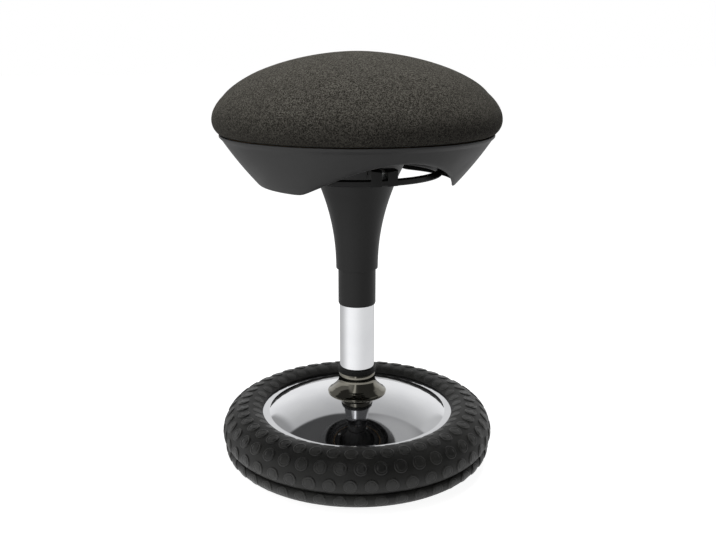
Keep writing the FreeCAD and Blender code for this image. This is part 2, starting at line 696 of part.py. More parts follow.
def tee_nuts():
    """Tee nuts let into the top of the pan."""
    top = PAN_Z + PAN_T
    steps = [(PAN_BOLT_D / 2, PAN_Z + 1), (TEE_R, PAN_Z + 1), (TEE_R, top - TEE_FLANGE_T)]
    steps += [(TEE_FLANGE_R, top - TEE_FLANGE_T), (TEE_FLANGE_R, top), (PAN_BOLT_D / 2, top)]
    nut = turned(steps)
    nut.translate(vec(PAN_BOLT_R, 0, 0))
    return grouped(around(nut, PAN_BOLTS, 45.0))


# Release lever and ring

def lever_arm():
    """Cranked lever: tip over the valve button, slotted eye on the ring's pin."""
    half = LEVER_T / 2
    tip_y = 9.0
    end_y = -LINK_R + EYE_R
    fall = (LEVER_Z - LINK_Z) / (LINK_R + LEVER_BEND_Y)
    end_z = LINK_Z + EYE_R * fall
    line = [(tip_y, LEVER_Z), (LEVER_BEND_Y, LEVER_Z), (end_y, end_z)]
    upper = [(y, z + half) for y, z in line]
    lower = [(y, z - half) for y, z in line]
    bar = side_plate(upper + lower[::-1], LEVER_W / 2)
    boss = cross_pin(PIVOT_D / 2 + 3, LEVER_W / 2, PIVOT_Y, LEVER_Z)
    eye = cross_pin(EYE_R, TONGUE_W / 2, -LINK_R, LINK_Z)
    eye_back = cross_pin(EYE_R, TONGUE_W / 2, -LINK_R + SLOT_RUN, LINK_Z)
    bridge = block(-TONGUE_W / 2, TONGUE_W / 2, -LINK_R, -LINK_R + SLOT_RUN,
                   LINK_Z - EYE_R, LINK_Z + EYE_R)
    room = block(-LEVER_W, LEVER_W, -LINK_R - 9, -LINK_R + LUG_D / 2 + 3, LINK_Z - 14, LINK_Z + 14)
    slot_r = LINK_D / 2 + SEAT_GAP
    slot = [cross_pin(slot_r, LEVER_W, -LINK_R, LINK_Z),
            cross_pin(slot_r, LEVER_W, -LINK_R + SLOT_RUN, LINK_Z),
            block(-LEVER_W, LEVER_W, -LINK_R, -LINK_R + SLOT_RUN, LINK_Z - slot_r, LINK_Z + slot_r)]
    pivot = cross_pin(PIVOT_D / 2 + SLIDE_GAP, LEVER_W, PIVOT_Y, LEVER_Z)
    tongue = bar.common(block(-TONGUE_W / 2, TONGUE_W / 2, -LINK_R, 0, LINK_Z - 20, LEVER_Z + 9))
    return fused([bar.cut(room), tongue, boss, eye, eye_back, bridge]).cut(slot + [pivot])


def lever_pivot_pin():
    return cross_pin(PIVOT_D / 2, LEVER_W / 2 + EAR_T + 2.5, PIVOT_Y, LEVER_Z)


def lug_pair():
    """Two lugs on the front of the ring, a tongue's width apart, with the pin's hole."""
    low = RING_Z - RING_H / 2
    high = RING_Z + RING_H / 2 + LUG_UP
    gap = TONGUE_W / 2 + SEAT_GAP
    lugs = []
    for side in (-1, 1):
        x0 = gap if side > 0 else -gap - LUG_W
        lug = block(x0, x0 + LUG_W, -RING_R, -RING_R + LUG_D, low, high)
        edges = [edge for edge in lug.Edges if abs(edge.CenterOfMass.z - high) < 0.01
                 and edge.CenterOfMass.x == x0 + LUG_W / 2]
        lugs.append(lug.makeFillet(4.0, edges))
    return lugs


def release_ring():
    """Moulded hoop under the seat, with lugs for the lever and for the rear hinge."""
    half = RING_H / 2
    inner = RING_R - RING_T
    soft = 2.2
    hoop = turned([(inner + soft, RING_Z - half), (RING_R - soft, RING_Z - half),
                   Bow(RING_R - 0.65, RING_Z - half + 0.65, RING_R, RING_Z - half + soft),
                   (RING_R, RING_Z + half - soft),
                   Bow(RING_R - 0.65, RING_Z + half - 0.65, RING_R - soft, RING_Z + half),
                   (inner + soft, RING_Z + half),
                   Bow(inner + 0.65, RING_Z + half - 0.65, inner, RING_Z + half - soft),
                   (inner, RING_Z - half + soft),
                   Bow(inner + 0.65, RING_Z - half + 0.65, inner + soft, RING_Z - half)])
    outside = ring(0, RING_R, RING_Z - half - 1, RING_Z + half + LUG_UP + 1)
    lugs = [lug.common(outside) for lug in lug_pair()]
    rear = [turned_to(lug, 180) for lug in lugs]
    pins = [cross_pin(LINK_D / 2, 40, -LINK_R, LINK_Z), cross_pin(LINK_D / 2 + SLIDE_GAP, 40,
                                                                  LINK_R, LINK_Z)]
    return fused([hoop] + lugs + rear).cut(pins)


def ring_link_pin():
    """Pin of the front lugs, which slides in the lever's slot."""
    return cross_pin(LINK_D / 2, TONGUE_W / 2 + SEAT_GAP + LUG_W - 1, -LINK_R, LINK_Z)


def ring_hinge_pin():
    """Pin of the rear lugs, held by the bracket."""
    return cross_pin(LINK_D / 2, TONGUE_W / 2 + SEAT_GAP + LUG_W - 1, LINK_R, LINK_Z)


def ring_bracket():
    """Bracket under the rear of the seat plate that the ring hinges on."""
    half = TONGUE_W / 2
    edge = FLANGE_R - 1
    tab = side_plate([(LINK_R - EYE_R, LINK_Z), (LINK_R - EYE_R, FLANGE_Z), (edge, FLANGE_Z),
                      (edge, FLANGE_Z - 12), (LINK_R + EYE_R, LINK_Z + 12), (LINK_R + EYE_R, LINK_Z)],
                     half)
    eye = cross_pin(EYE_R, half, LINK_R, LINK_Z)
    foot = block(-12, 12, DISH_TOP_R + 7, edge, FLANGE_Z - BRACKET_T, FLANGE_Z)
    return fused([tab, eye, foot]).cut(cross_pin(LINK_D / 2, 20, LINK_R, LINK_Z))


# Telescoping covers

def funnel_line(inset):
    """Flared side of the upper cover, from its lower edge upwards."""
    rise = FUNNEL_H - FUNNEL_TOP_T
    flare = FUNNEL_TOP_R - FUNNEL_LOW_R
    shape = ((0.14, 0.022), (0.41, 0.166), (0.64, 0.43), (0.83, 0.745), (1.0, 1.0))
    return [(FUNNEL_LOW_R + flare * out - inset * (1 + 0.25 * up), FUNNEL_Z + rise * up)
            for up, out in shape]


def funnel_cover():
    """Flared upper cover, screwed under the seat plate."""
    inner_low_r = FUNNEL_LOW_R - FUNNEL_WALL
    lip_r = SLEEVE_R + SEAT_GAP
    top_z = FUNNEL_TOP - FUNNEL_TOP_T
    outer = funnel_line(0)
    inner = funnel_line(FUNNEL_WALL)
    steps = [(lip_r, FUNNEL_Z), (FUNNEL_LOW_R - 0.6, FUNNEL_Z), (FUNNEL_LOW_R, FUNNEL_Z + 0.6)]
    steps += [Curve(outer), (FUNNEL_TOP_R, FUNNEL_TOP), (HUB_R + 1, FUNNEL_TOP), (HUB_R + 1, top_z)]
    steps += [inner[-1], Curve(inner[-2::-1] + [(inner_low_r, FUNNEL_Z + FUNNEL_LIP)])]
    steps += [(lip_r, FUNNEL_Z + FUNNEL_LIP)]
    hole = rod(FUNNEL_SCREW_D / 2, top_z - 1, FUNNEL_TOP + 1, FUNNEL_SCREW_R)
    return turned(steps).cut(around(hole, FUNNEL_SCREWS, 30.0))


def funnel_screws():
    """Screws from below through the cover's top into the seat plate."""
    top_z = FUNNEL_TOP - FUNNEL_TOP_T
    shank = rod(FUNNEL_SCREW_D / 2, top_z, DISH_Z + DISH_T, FUNNEL_SCREW_R)
    head = rod(FUNNEL_SCREW_D, top_z - 2, top_z, FUNNEL_SCREW_R)
    return grouped(around(shank.fuse(head), FUNNEL_SCREWS, 30.0))


def telescopic_sleeve():
    """Lower cover: its bead hangs on the lip of the upper cover."""
    inner = SLEEVE_R - SLEEVE_WALL
    bead_r = FUNNEL_LOW_R - FUNNEL_WALL - SEAT_GAP
    bead_z = FUNNEL_Z + FUNNEL_LIP + SEAT_GAP
    steps = [(inner, SLEEVE_Z), (SLEEVE_R - 1, SLEEVE_Z)]
    steps += [Bow(SLEEVE_R - 0.3, SLEEVE_Z + 0.7, SLEEVE_R, SLEEVE_Z + 3), (SLEEVE_R, bead_z)]
    steps += [(bead_r, bead_z), (bead_r, bead_z + 2.5), (inner, bead_z + 3)]
    return turned(steps)


# Seat

def seat_pan():
    """Plywood board with the seats of the tee nuts and of the shell's screws."""
    top = PAN_Z + PAN_T
    board = turned([(0, PAN_Z), (PAN_R - 1, PAN_Z), (PAN_R, PAN_Z + 1), (PAN_R, top), (0, top)])
    hole = rod(TEE_R, PAN_Z - 1, top + 1, PAN_BOLT_R)
    recess = rod(TEE_FLANGE_R, top - TEE_FLANGE_T, top + 1, PAN_BOLT_R)
    pilot = rod(SHELL_SCREW_D / 2, PAN_Z - 1, PAN_Z + PAN_T - 3, SHELL_SCREW_R)
    cuts = around(hole, PAN_BOLTS, 45.0) + around(recess, PAN_BOLTS, 45.0)
    return board.cut(cuts + around(pilot, SHELL_SCREWS))


def crown(radius, height, count=9):
    """Points of the cushion's crown, from its widest level to its top.

    |r / radius| ** CROWN_POWER + |h / height| ** CROWN_POWER = 1
    """
    points = []
    for i in range(1, count + 1):
        turn = math.pi / 2 * i / count
        r = radius * max(0.0, math.cos(turn)) ** (2 / CROWN_POWER)
        h = height * math.sin(turn) ** (2 / CROWN_POWER)
        points.append((0.0 if i == count else r, SEAT_Z + h))
    return points


def cushion_edge(inset):
    """Side of the cushion from the widest level down to the seam."""
    mid_z = SEAM_Z + SEAT_BULGE * 0.46
    mid_r = SEAM_R + (SEAT_R - SEAM_R) * 0.77
    return Bow(mid_r - inset, mid_z, SEAM_R - 0.4 - inset, SEAM_Z + 0.2)


def cushion_foam():
    """Foam block with its crown and drawn-in side, on the pan."""
    radius = SEAT_R - COVER_T
    base = PAN_Z + PAN_T
    edge = cushion_edge(COVER_T)
    steps = [(0, base), (edge.end.x, base), Bow(edge.mid.x, edge.mid.z, radius, SEAT_Z)]
    return turned(steps + [Curve(crown(radius, SEAT_CROWN - COVER_T))])


def cushion_cover():
    """Fabric over the foam, drawn in at the seam and tucked round the pan's edge."""
    radius = SEAT_R - COVER_T
    base = PAN_Z + PAN_T
    edge = cushion_edge(0)
    inner = cushion_edge(COVER_T)
    steps = [(0, SEAT_Z + SEAT_CROWN - COVER_T), (0, SEAT_Z + SEAT_CROWN)]
    steps.append(Curve(crown(SEAT_R, SEAT_CROWN)[-2::-1] + [(SEAT_R, SEAT_Z)]))
    steps += [edge, (SEAM_R - SHELL_WALL - 0.4, edge.end.z), (PAN_R + 0.6, PAN_Z + 2.5)]
    steps += [(PAN_R, PAN_Z + 2.5), (PAN_R, base), (inner.end.x, base)]
    steps.append(Bow(inner.mid.x, inner.mid.z, radius, SEAT_Z))
    steps.append(Curve(crown(radius, SEAT_CROWN - COVER_T)))
    return turned(steps)


def shell_r(z, inset=0.0):
    """Radius of the shell's skirt at height z: a slightly bowed cone."""
    low = SHELL_Z + 3
    high = SEAM_Z - SHELL_RIM_H - SHELL_RIM_STEP
    low_r = SHELL_LOW_R + 2.4
    high_r = SEAM_R - SHELL_RIM_STEP
    t = (z - low) / (high - low)
    return low_r + (high_r - low_r) * t + 7.0 * t * (1 - t) - inset * 1.25


def seat_shell():
    """Moulded shell under the seat: conical skirt, web, ribs and two hand openings."""
    low = SHELL_Z + 3
    high = SEAM_Z - SHELL_RIM_H - SHELL_RIM_STEP
    mid = (low + high) / 2
    wall = SHELL_WALL
    web_low = PAN_Z - SHELL_WEB_T
    upper_mid = (web_low + high) / 2
    steps = [(SEAM_R, SEAM_Z), (SEAM_R, SEAM_Z - SHELL_RIM_H), (shell_r(high), high)]
    steps.append(Bow(shell_r(mid), mid, shell_r(low), low))
    steps.append(Bow(shell_r(low) - 1.3, low - 2.2, SHELL_LOW_R - wall * 0.3, SHELL_Z))
    steps += [(shell_r(low, wall), low)]
    steps.append(Bow(shell_r((low + web_low) / 2, wall), (low + web_low) / 2,
                     shell_r(web_low, wall), web_low))
    steps += [(SHELL_WEB_R, web_low), (SHELL_WEB_R, PAN_Z), (PAN_R - 0.7, PAN_Z)]
    steps.append((SEAM_R - wall, SEAM_Z))
    body = turned(steps)
    rib_low = web_low - SHELL_RIB_H
    side_y = -SHELL_RIB_T / 2
    corners = [vec(SHELL_WEB_R + 12, side_y, web_low), vec(shell_r(web_low, wall) + 1, side_y, web_low),
               vec(shell_r(rib_low, wall) + 1, side_y, rib_low)]
    rib = Part.Face(Part.makePolygon(corners + corners[:1])).extrude(vec(0, SHELL_RIB_T, 0))
    arch_z = SEAM_Z - ARCH_DOWN - ARCH_R
    arch = Part.makeCylinder(ARCH_R, 2 * SEAM_R, vec(0, -SEAM_R, arch_z), vec(0, 1, 0))
    screw = rod(SHELL_SCREW_D / 2 + HOLE_GAP, web_low - 1, PAN_Z + 1, SHELL_SCREW_R)
    body = fused([body] + around(rib, SHELL_RIBS, 15.0))
    return body.cut([arch] + around(screw, SHELL_SCREWS))


def shell_screws():
    """Screws from below through the shell's web into the pan."""
    web_low = PAN_Z - SHELL_WEB_T
    shank = rod(SHELL_SCREW_D / 2, web_low, PAN_Z + PAN_T - 4, SHELL_SCREW_R)
    head = rod(SHELL_SCREW_D, web_low - 2.4, web_low, SHELL_SCREW_R)
    return grouped(around(shank.fuse(head), SHELL_SCREWS))


PIECES = [rocker_sole, tyre, tyre_core, base_plate, sole_screws, hub_socket, dome_cover,
          collar_cover, collar_seal, column_tube, guide_bush, bearing_lower_race, bearing_upper_race,
          bearing_balls, ball_cage, end_bumper, piston_rod, rod_clip, clip_washer, piston, piston_seal,
          piston_nut, gas_cylinder, cylinder_guide, valve_body, valve_button, seat_plate, plate_hub,
          pan_bolts, tee_nuts, lever_arm, lever_pivot_pin, release_ring, ring_link_pin, ring_hinge_pin,
          ring_bracket, funnel_cover, funnel_screws, telescopic_sleeve, seat_pan, cushion_foam,
          cushion_cover, seat_shell, shell_screws]

os.makedirs("parts", exist_ok=True)
for piece in PIECES:
    shape = piece()
    shape.exportStep(os.path.join("parts", piece.__name__ + ".step"))
    print(piece.__name__, len(shape.Solids), "valid" if shape.isValid() else "NOT VALID",
          round(shape.Volume))
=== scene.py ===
import json
import math

import bpy
import numpy as np
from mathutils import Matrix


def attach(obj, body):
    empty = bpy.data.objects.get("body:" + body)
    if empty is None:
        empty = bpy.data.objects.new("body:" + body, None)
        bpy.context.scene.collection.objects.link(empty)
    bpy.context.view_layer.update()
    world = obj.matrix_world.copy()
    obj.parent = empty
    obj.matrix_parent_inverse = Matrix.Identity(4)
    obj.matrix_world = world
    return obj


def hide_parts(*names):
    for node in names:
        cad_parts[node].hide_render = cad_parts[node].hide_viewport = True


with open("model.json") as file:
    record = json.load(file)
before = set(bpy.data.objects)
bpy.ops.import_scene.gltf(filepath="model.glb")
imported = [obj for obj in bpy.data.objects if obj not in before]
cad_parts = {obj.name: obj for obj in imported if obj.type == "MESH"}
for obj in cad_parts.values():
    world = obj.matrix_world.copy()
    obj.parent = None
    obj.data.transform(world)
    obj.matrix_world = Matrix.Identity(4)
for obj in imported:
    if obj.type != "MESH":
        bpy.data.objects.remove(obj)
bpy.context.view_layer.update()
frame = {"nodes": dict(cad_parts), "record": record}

# A wobble stool, worked out in millimetres and turned to metres in the meshes.
# +Z is up, the column stands on the Z axis and the front faces -Y.

MM = 0.001

# Tyre
TYRE_LIP = (140.6, 74.3)
TYRE_CROWN = (160.0, 83.6)
TYRE_SHOULDER = (182.4, 76.5)
TYRE_FLANK = (194.8, 60.0)
TYRE_WIDEST = (197.0, 50.0)
TYRE_LOW = (195.2, 41.0)
GROOVE = (189.5, 34.6)
STUDS = 45              # studs in one row round the tyre
STUD_ROWS = (           # way along the tyre's outline, shift in studs, radius and height of each row
    (11.6, 0.0, 7.6, 0.45),
    (33.6, 0.5, 9.3, 1.2),
    (56.6, 0.0, 9.5, 1.2),
    (79.6, 0.5, 9.5, 1.2),
)
SOLE_ROW = (10.2, 0.0, 9.0, 1.0)

# Chrome
DOME_RIM = 130.0
DOME_FLANGE = 143.0
DOME_FOOT = 74.2
DOME_RISE = 30.0
SHEET = 1.2             # thickness of the dome's sheet
COLUMN = 25.0
COLUMN_TOP = 262.0
NECK = 26.5
BELL_RIM = 42.8
BELL_TOP = 133.0
SEAL_TOP = 142.0

# Covers
FUNNEL_LOW = 29.8
FUNNEL_HIGH = 70.0
FUNNEL_FOOT = 290.0
FUNNEL_TOP = 447.0
SLEEVE = 26.8
SLEEVE_FOOT = 237.0

# Seat
SEAT = 198.5            # radius of the cushion at its widest
SEAT_LEVEL = 502.0
SEAT_RISE = 86.6
CROWN_POWER = 1.83
SEAM = 188.0
SEAM_LEVEL = 481.5
PAN_TOP = 482.0
SHELL_FOOT = 413.5
SHELL_WALL = 3.5
WEB_UNDER = 467.0
WEB_TOP = 470.0
WEB_INNER = 110.0
ARCH = 145.0            # radius of the hand openings' arches
ARCH_CENTRE = 315.0
ARCH_JOIN = 1.3         # how softly an arch runs into the lower edge
SHELL_TURN = math.radians(2.5)      # the shell sits a little round from the front
RIBS = 12
RIB_WIDTH = 2.0
RIB_DEPTH = 17.0


# Lines in (r, z)

def arc(a, b, c, count):
    """Points from a to c on the circle through a, b and c.

    The centre solves 2 (b - a) . m = b.b - a.a and 2 (c - a) . m = c.c - a.a.
    """
    a, b, c = (np.array(p, float) for p in (a, b, c))
    middle = np.linalg.solve(2 * np.array([b - a, c - a]), [b @ b - a @ a, c @ c - a @ a])
    ends = [math.atan2(*(p - middle)[::-1]) for p in (a, b, c)]
    way = np.unwrap(ends)
    if abs(way[2] - way[0]) < abs(way[1] - way[0]):
        way[2] += math.copysign(2 * math.pi, way[1] - way[0])
    turn = np.linspace(way[0], way[2], count)
    radius = np.linalg.norm(a - middle)
    return middle + radius * np.stack([np.cos(turn), np.sin(turn)], 1)


def through(points, count):
    """Points on the natural cubic spline through the given ones.

    The bend m at each knot solves the usual three-term equations, with none
    at the two ends, and each stretch is the cubic that has those bends.
    """
    knots = np.array(points, float)
    way = np.r_[0, np.cumsum(np.linalg.norm(np.diff(knots, axis=0), axis=1))]
    step = np.diff(way)
    size = len(knots)
    matrix = np.eye(size)
    right = np.zeros((size, 2))
    inner = np.arange(1, size - 1)
    matrix[inner, inner - 1] = step[:-1]
    matrix[inner, inner] = 2 * (step[:-1] + step[1:])
    matrix[inner, inner + 1] = step[1:]
    slope = np.diff(knots, axis=0) / step[:, None]
    right[inner] = 6 * np.diff(slope, axis=0)
    bend = np.linalg.solve(matrix, right)
    at = np.linspace(0, way[-1], count)
    left = np.clip(np.searchsorted(way, at, side="right") - 1, 0, size - 2)
    h = step[left][:, None]
    a = (way[left + 1] - at)[:, None]
    b = (at - way[left])[:, None]
    cubic = (bend[left] * a ** 3 + bend[left + 1] * b ** 3) / (6 * h)
    linear = (knots[left] / h - bend[left] * h / 6) * a
    return cubic + linear + (knots[left + 1] / h - bend[left + 1] * h / 6) * b


def eased(corners, radius, steps=4):
    """A closed line of corners, each rounded by a parabola that starts a radius away from it.

    p(t) = (1 - t)^2 p0 + 2 t (1 - t) corner + t^2 p1
    """
    corner = np.array(corners, float)
    before = np.roll(corner, 1, axis=0)
    after = np.roll(corner, -1, axis=0)
    back = before - corner
    on = after - corner
    back_length = np.linalg.norm(back, axis=1, keepdims=True)
    on_length = np.linalg.norm(on, axis=1, keepdims=True)
    start = corner + back / back_length * np.minimum(radius, back_length * 0.45)
    end = corner + on / on_length * np.minimum(radius, on_length * 0.45)
    t = np.linspace(0, 1, steps + 1)[None, :, None]
    bent = (1 - t) ** 2 * start[:, None] + 2 * t * (1 - t) * corner[:, None] + t ** 2 * end[:, None]
    return bent.reshape(-1, 2)


# Surfaces

def mesh_from(name, grid):
    """Mesh over a grid of points in mm, (rows, columns, 3), that closes on itself both ways."""
    rows, columns = grid.shape[:2]
    index = np.arange(rows * columns).reshape(rows, columns)
    index = np.vstack([index, index[:1]])
    index = np.hstack([index, index[:, :1]])
    faces = np.stack([index[:-1, :-1], index[:-1, 1:], index[1:, 1:], index[1:, :-1]], -1)
    return mesh_of(name, grid.reshape(-1, 3), faces.reshape(-1, 4))


def mesh_of(name, points, faces):
    """Mesh of points in mm and four-cornered faces.

    Points in one place become one, so a row on the axis is a pole. The faces
    are turned so that the volume, the sum of a . (b x c) / 6, is positive.
    """
    places, number = np.unique(np.round(points * MM, 7), axis=0, return_inverse=True)
    faces = number.reshape(-1)[faces]
    low = faces[:, 0] == faces[:, 1]
    high = faces[:, 2] == faces[:, 3]
    flat = low & high
    threes = np.vstack([faces[low & ~flat][:, 1:], faces[high & ~flat][:, :3]])
    fours = faces[~low & ~high]
    corner = places[fours]
    one = corner[:, 0] * np.cross(corner[:, 1], corner[:, 2])
    two = corner[:, 0] * np.cross(corner[:, 2], corner[:, 3])
    tip = places[threes]
    three = tip[:, 0] * np.cross(tip[:, 1], tip[:, 2])
    if one.sum() + two.sum() + three.sum() < 0:
        fours = fours[:, ::-1]
        threes = threes[:, ::-1]
    mesh = bpy.data.meshes.new(name)
    mesh.from_pydata(places.tolist(), [], fours.tolist() + threes.tolist())
    mesh.validate()
    mesh.shade_smooth()
    mesh.set_sharp_from_angle(angle=math.radians(38))
    return mesh


def swept_round(name, line, around=192):
    """Closed surface of a closed line (r, z) swept once round Z: (r sin a, -r cos a, z)."""
    turn = np.linspace(0, 2 * math.pi, around, endpoint=False)
    line = np.asarray(line)
    grid = np.stack([
        line[:, :1] * np.sin(turn),
        -line[:, :1] * np.cos(turn),
        np.repeat(line[:, 1:], around, axis=1),
    ], -1)
    return mesh_from(name, grid)


def piece(name, mesh, finish, body, *stands_for):
    """An object of the stool, riding on a body and standing for CAD nodes."""
    made = bpy.data.objects.new(name, mesh)
    bpy.context.scene.collection.objects.link(made)
    mesh.materials.clear()
    mesh.materials.append(finish)
    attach(made, body)
    if stands_for:
        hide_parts(*stands_for)
    return made


# Finishes

def linear(colour):
    """Linear RGBA of an sRGB hex colour."""
    parts = [int(colour[i:i + 2], 16) / 255 for i in (1, 3, 5)]
    return [p / 12.92 if p <= 0.04045 else ((p + 0.055) / 1.055) ** 2.4 for p in parts] + [1.0]


def add(tree, kind, inputs=None, **settings):
    """Adds a node. Settings are its options, and inputs are values or links by socket."""
    made = tree.nodes.new(kind)
    for option, value in settings.items():
        setattr(made, option, value)
    for place, value in (inputs or {}).items():
        if isinstance(value, bpy.types.NodeSocket):
            tree.links.new(value, made.inputs[place])
        else:
            made.inputs[place].default_value = value
    return made


def new_finish(name):
    """An empty material, its tree and its object coordinates."""
    finish = bpy.data.materials.new(name)
    finish.use_nodes = True
    tree = finish.node_tree
    tree.nodes.clear()
    return finish, tree, add(tree, "ShaderNodeTexCoord").outputs["Object"]


def done(tree, shader):
    """Makes a shader the material's surface."""
    add(tree, "ShaderNodeOutputMaterial", {"Surface": shader.outputs["BSDF"]})


def grains(tree, where, size_mm, detail=3.0):
    """Noise whose grains are about size_mm across."""
    return add(tree, "ShaderNodeTexNoise", {"Vector": where, "Scale": 1000 / size_mm, "Detail": detail})


def between(tree, share, low, high):
    """Spreads a noise value, mostly 0.3 to 0.7, over a range of numbers."""
    spread = add(tree, "ShaderNodeMapRange", {"Value": share, "From Min": 0.3, "From Max": 0.7,
                                              "To Min": low, "To Max": high})
    return spread.outputs["Result"]


def blended(tree, share, low, high):
    """Colour between two hex colours by a share from 0 to 1."""
    mix = add(tree, "ShaderNodeMix", {0: share, 6: linear(low), 7: linear(high)}, data_type="RGBA")
    return mix.outputs[2]


def plain_metal(name, low, high, roughness, streak_mm):
    """Bare or plated metal: slightly uneven tone, and gloss that varies in fine patches."""
    finish, tree, where = new_finish(name)
    patch = grains(tree, where, streak_mm)
    fine = grains(tree, where, 0.8)
    tone = blended(tree, between(tree, patch.outputs["Fac"], 0.0, 1.0), low, high)
    gloss = between(tree, patch.outputs["Fac"], roughness[0], roughness[1])
    bump = add(tree, "ShaderNodeBump", {"Height": fine.outputs["Fac"], "Distance": 0.01 * MM,
                                        "Strength": 0.4})
    done(tree, add(tree, "ShaderNodeBsdfPrincipled", {
        "Base Color": tone, "Metallic": 1.0, "Roughness": gloss, "Normal": bump.outputs["Normal"]}))
    return finish


def moulded(name, low, high, roughness, grain_mm, depth_mm, shine=0.3):
    """Moulded plastic or paint: fine grain of the mould, soft patches of gloss and a hint of dust."""
    finish, tree, where = new_finish(name)
    patch = grains(tree, where, 34.0)
    grain = grains(tree, where, grain_mm, 2.0)
    tone = blended(tree, between(tree, patch.outputs["Fac"], 0.0, 1.0), low, high)
    gloss = between(tree, patch.outputs["Fac"], roughness[0], roughness[1])
    bump = add(tree, "ShaderNodeBump", {"Height": grain.outputs["Fac"], "Distance": depth_mm * MM})
    done(tree, add(tree, "ShaderNodeBsdfPrincipled", {
        "Base Color": tone, "Roughness": gloss, "Specular IOR Level": shine,
        "Normal": bump.outputs["Normal"]}))
    return finish


def bright_chrome():
    """Chrome plate: a cold mirror, with faint wiping marks in its gloss."""
    return plain_metal("chrome_plated_steel", "#e8e9ec", "#f0f1f3", (0.03, 0.075), 45.0)


def dark_chrome():
    """Black nickel under clear chrome: a mirror with a brown-grey tint."""
    return plain_metal("black_nickel_plated_steel", "#7f7c73", "#8d8a80", (0.05, 0.1), 30.0)


def tyre_rubber(name, low, high, gloss, shine):
    """Carbon-black rubber: dull and faintly grey, with the mould's grain of a millimetre."""
    return moulded(name, low, high, gloss, 0.9, 0.05, shine)


def melange_cloth():
    """Woven polyester melange: dark yarns with lighter flecks, and a soft sheen at the edges.

    Real yarns are 0.7 mm apart. They are drawn 1.2 mm apart, so that they show.
    """
    finish, tree, _ = new_finish("woven_melange_polyester")
    pitch = 1.2 * MM
    cloth = add(tree, "ShaderNodeUVMap", uv_map="cloth").outputs["UV"]
    scaled = add(tree, "ShaderNodeVectorMath", {0: cloth, 1: (1 / pitch, 1 / pitch, 1)},
                 operation="MULTIPLY")
    cell = add(tree, "ShaderNodeVectorMath", {0: scaled.outputs[0]}, operation="FLOOR")
    fleck = add(tree, "ShaderNodeTexWhiteNoise", {"Vector": cell.outputs[0]}, noise_dimensions="2D")
    cluster = add(tree, "ShaderNodeTexNoise", {"Vector": scaled.outputs[0], "Scale": 0.7, "Detail": 2.0})
    broad = add(tree, "ShaderNodeTexNoise", {"Vector": scaled.outputs[0], "Scale": 0.03, "Detail": 2.0})
    both = add(tree, "ShaderNodeMath", {0: fleck.outputs["Value"], 1: cluster.outputs["Fac"]},
               operation="MULTIPLY")
    light = add(tree, "ShaderNodeMapRange", {"Value": both.outputs[0], "From Min": 0.05, "From Max": 0.62})
    tone = blended(tree, light.outputs["Result"], "#25231f", "#77746c")
    worn = add(tree, "ShaderNodeMix", {0: between(tree, broad.outputs["Fac"], 0.0, 0.22), 6: tone,
                                       7: linear("#3b3834")}, data_type="RGBA")
    parts = add(tree, "ShaderNodeSeparateXYZ", {"Vector": scaled.outputs[0]})
    warp = add(tree, "ShaderNodeMath", {0: parts.outputs["X"], 1: 2 * math.pi}, operation="MULTIPLY")
    weft = add(tree, "ShaderNodeMath", {0: parts.outputs["Y"], 1: 2 * math.pi}, operation="MULTIPLY")
    warp_wave = add(tree, "ShaderNodeMath", {0: warp.outputs[0]}, operation="SINE")
    weft_wave = add(tree, "ShaderNodeMath", {0: weft.outputs[0]}, operation="SINE")
    weave = add(tree, "ShaderNodeMath", {0: warp_wave.outputs[0], 1: weft_wave.outputs[0]},
                operation="MULTIPLY")
    height = add(tree, "ShaderNodeMath", {0: weave.outputs[0], 1: fleck.outputs["Value"]}, operation="ADD")
    bump = add(tree, "ShaderNodeBump", {"Height": height.outputs[0], "Distance": 0.12 * MM, "Strength": 0.8})
    done(tree, add(tree, "ShaderNodeBsdfPrincipled", {
        "Base Color": worn.outputs[2], "Roughness": 0.92, "Sheen Weight": 0.06, "Sheen Roughness": 0.45,
        "Sheen Tint": linear("#b9b4aa"), "IOR": 1.45, "Specular IOR Level": 0.25,
        "Normal": bump.outputs["Normal"]}))
    return finish


def plywood():
    """Birch plywood: warm, with grain lines 3 mm apart along X."""
    finish, tree, where = new_finish("sanded_birch_plywood")
    drawn = add(tree, "ShaderNodeMapping", {"Vector": where, "Scale": (6.0, 330.0, 330.0)})
    grain = add(tree, "ShaderNodeTexNoise", {"Vector": drawn.outputs[0], "Scale": 1.0, "Detail": 4.0})
    tone = blended(tree, between(tree, grain.outputs["Fac"], 0.0, 1.0), "#b58f62", "#d2b083")
    bump = add(tree, "ShaderNodeBump", {"Height": grain.outputs["Fac"], "Distance": 0.05 * MM})
    done(tree, add(tree, "ShaderNodeBsdfPrincipled", {
        "Base Color": tone, "Roughness": 0.6, "Normal": bump.outputs["Normal"]}))
    return finish


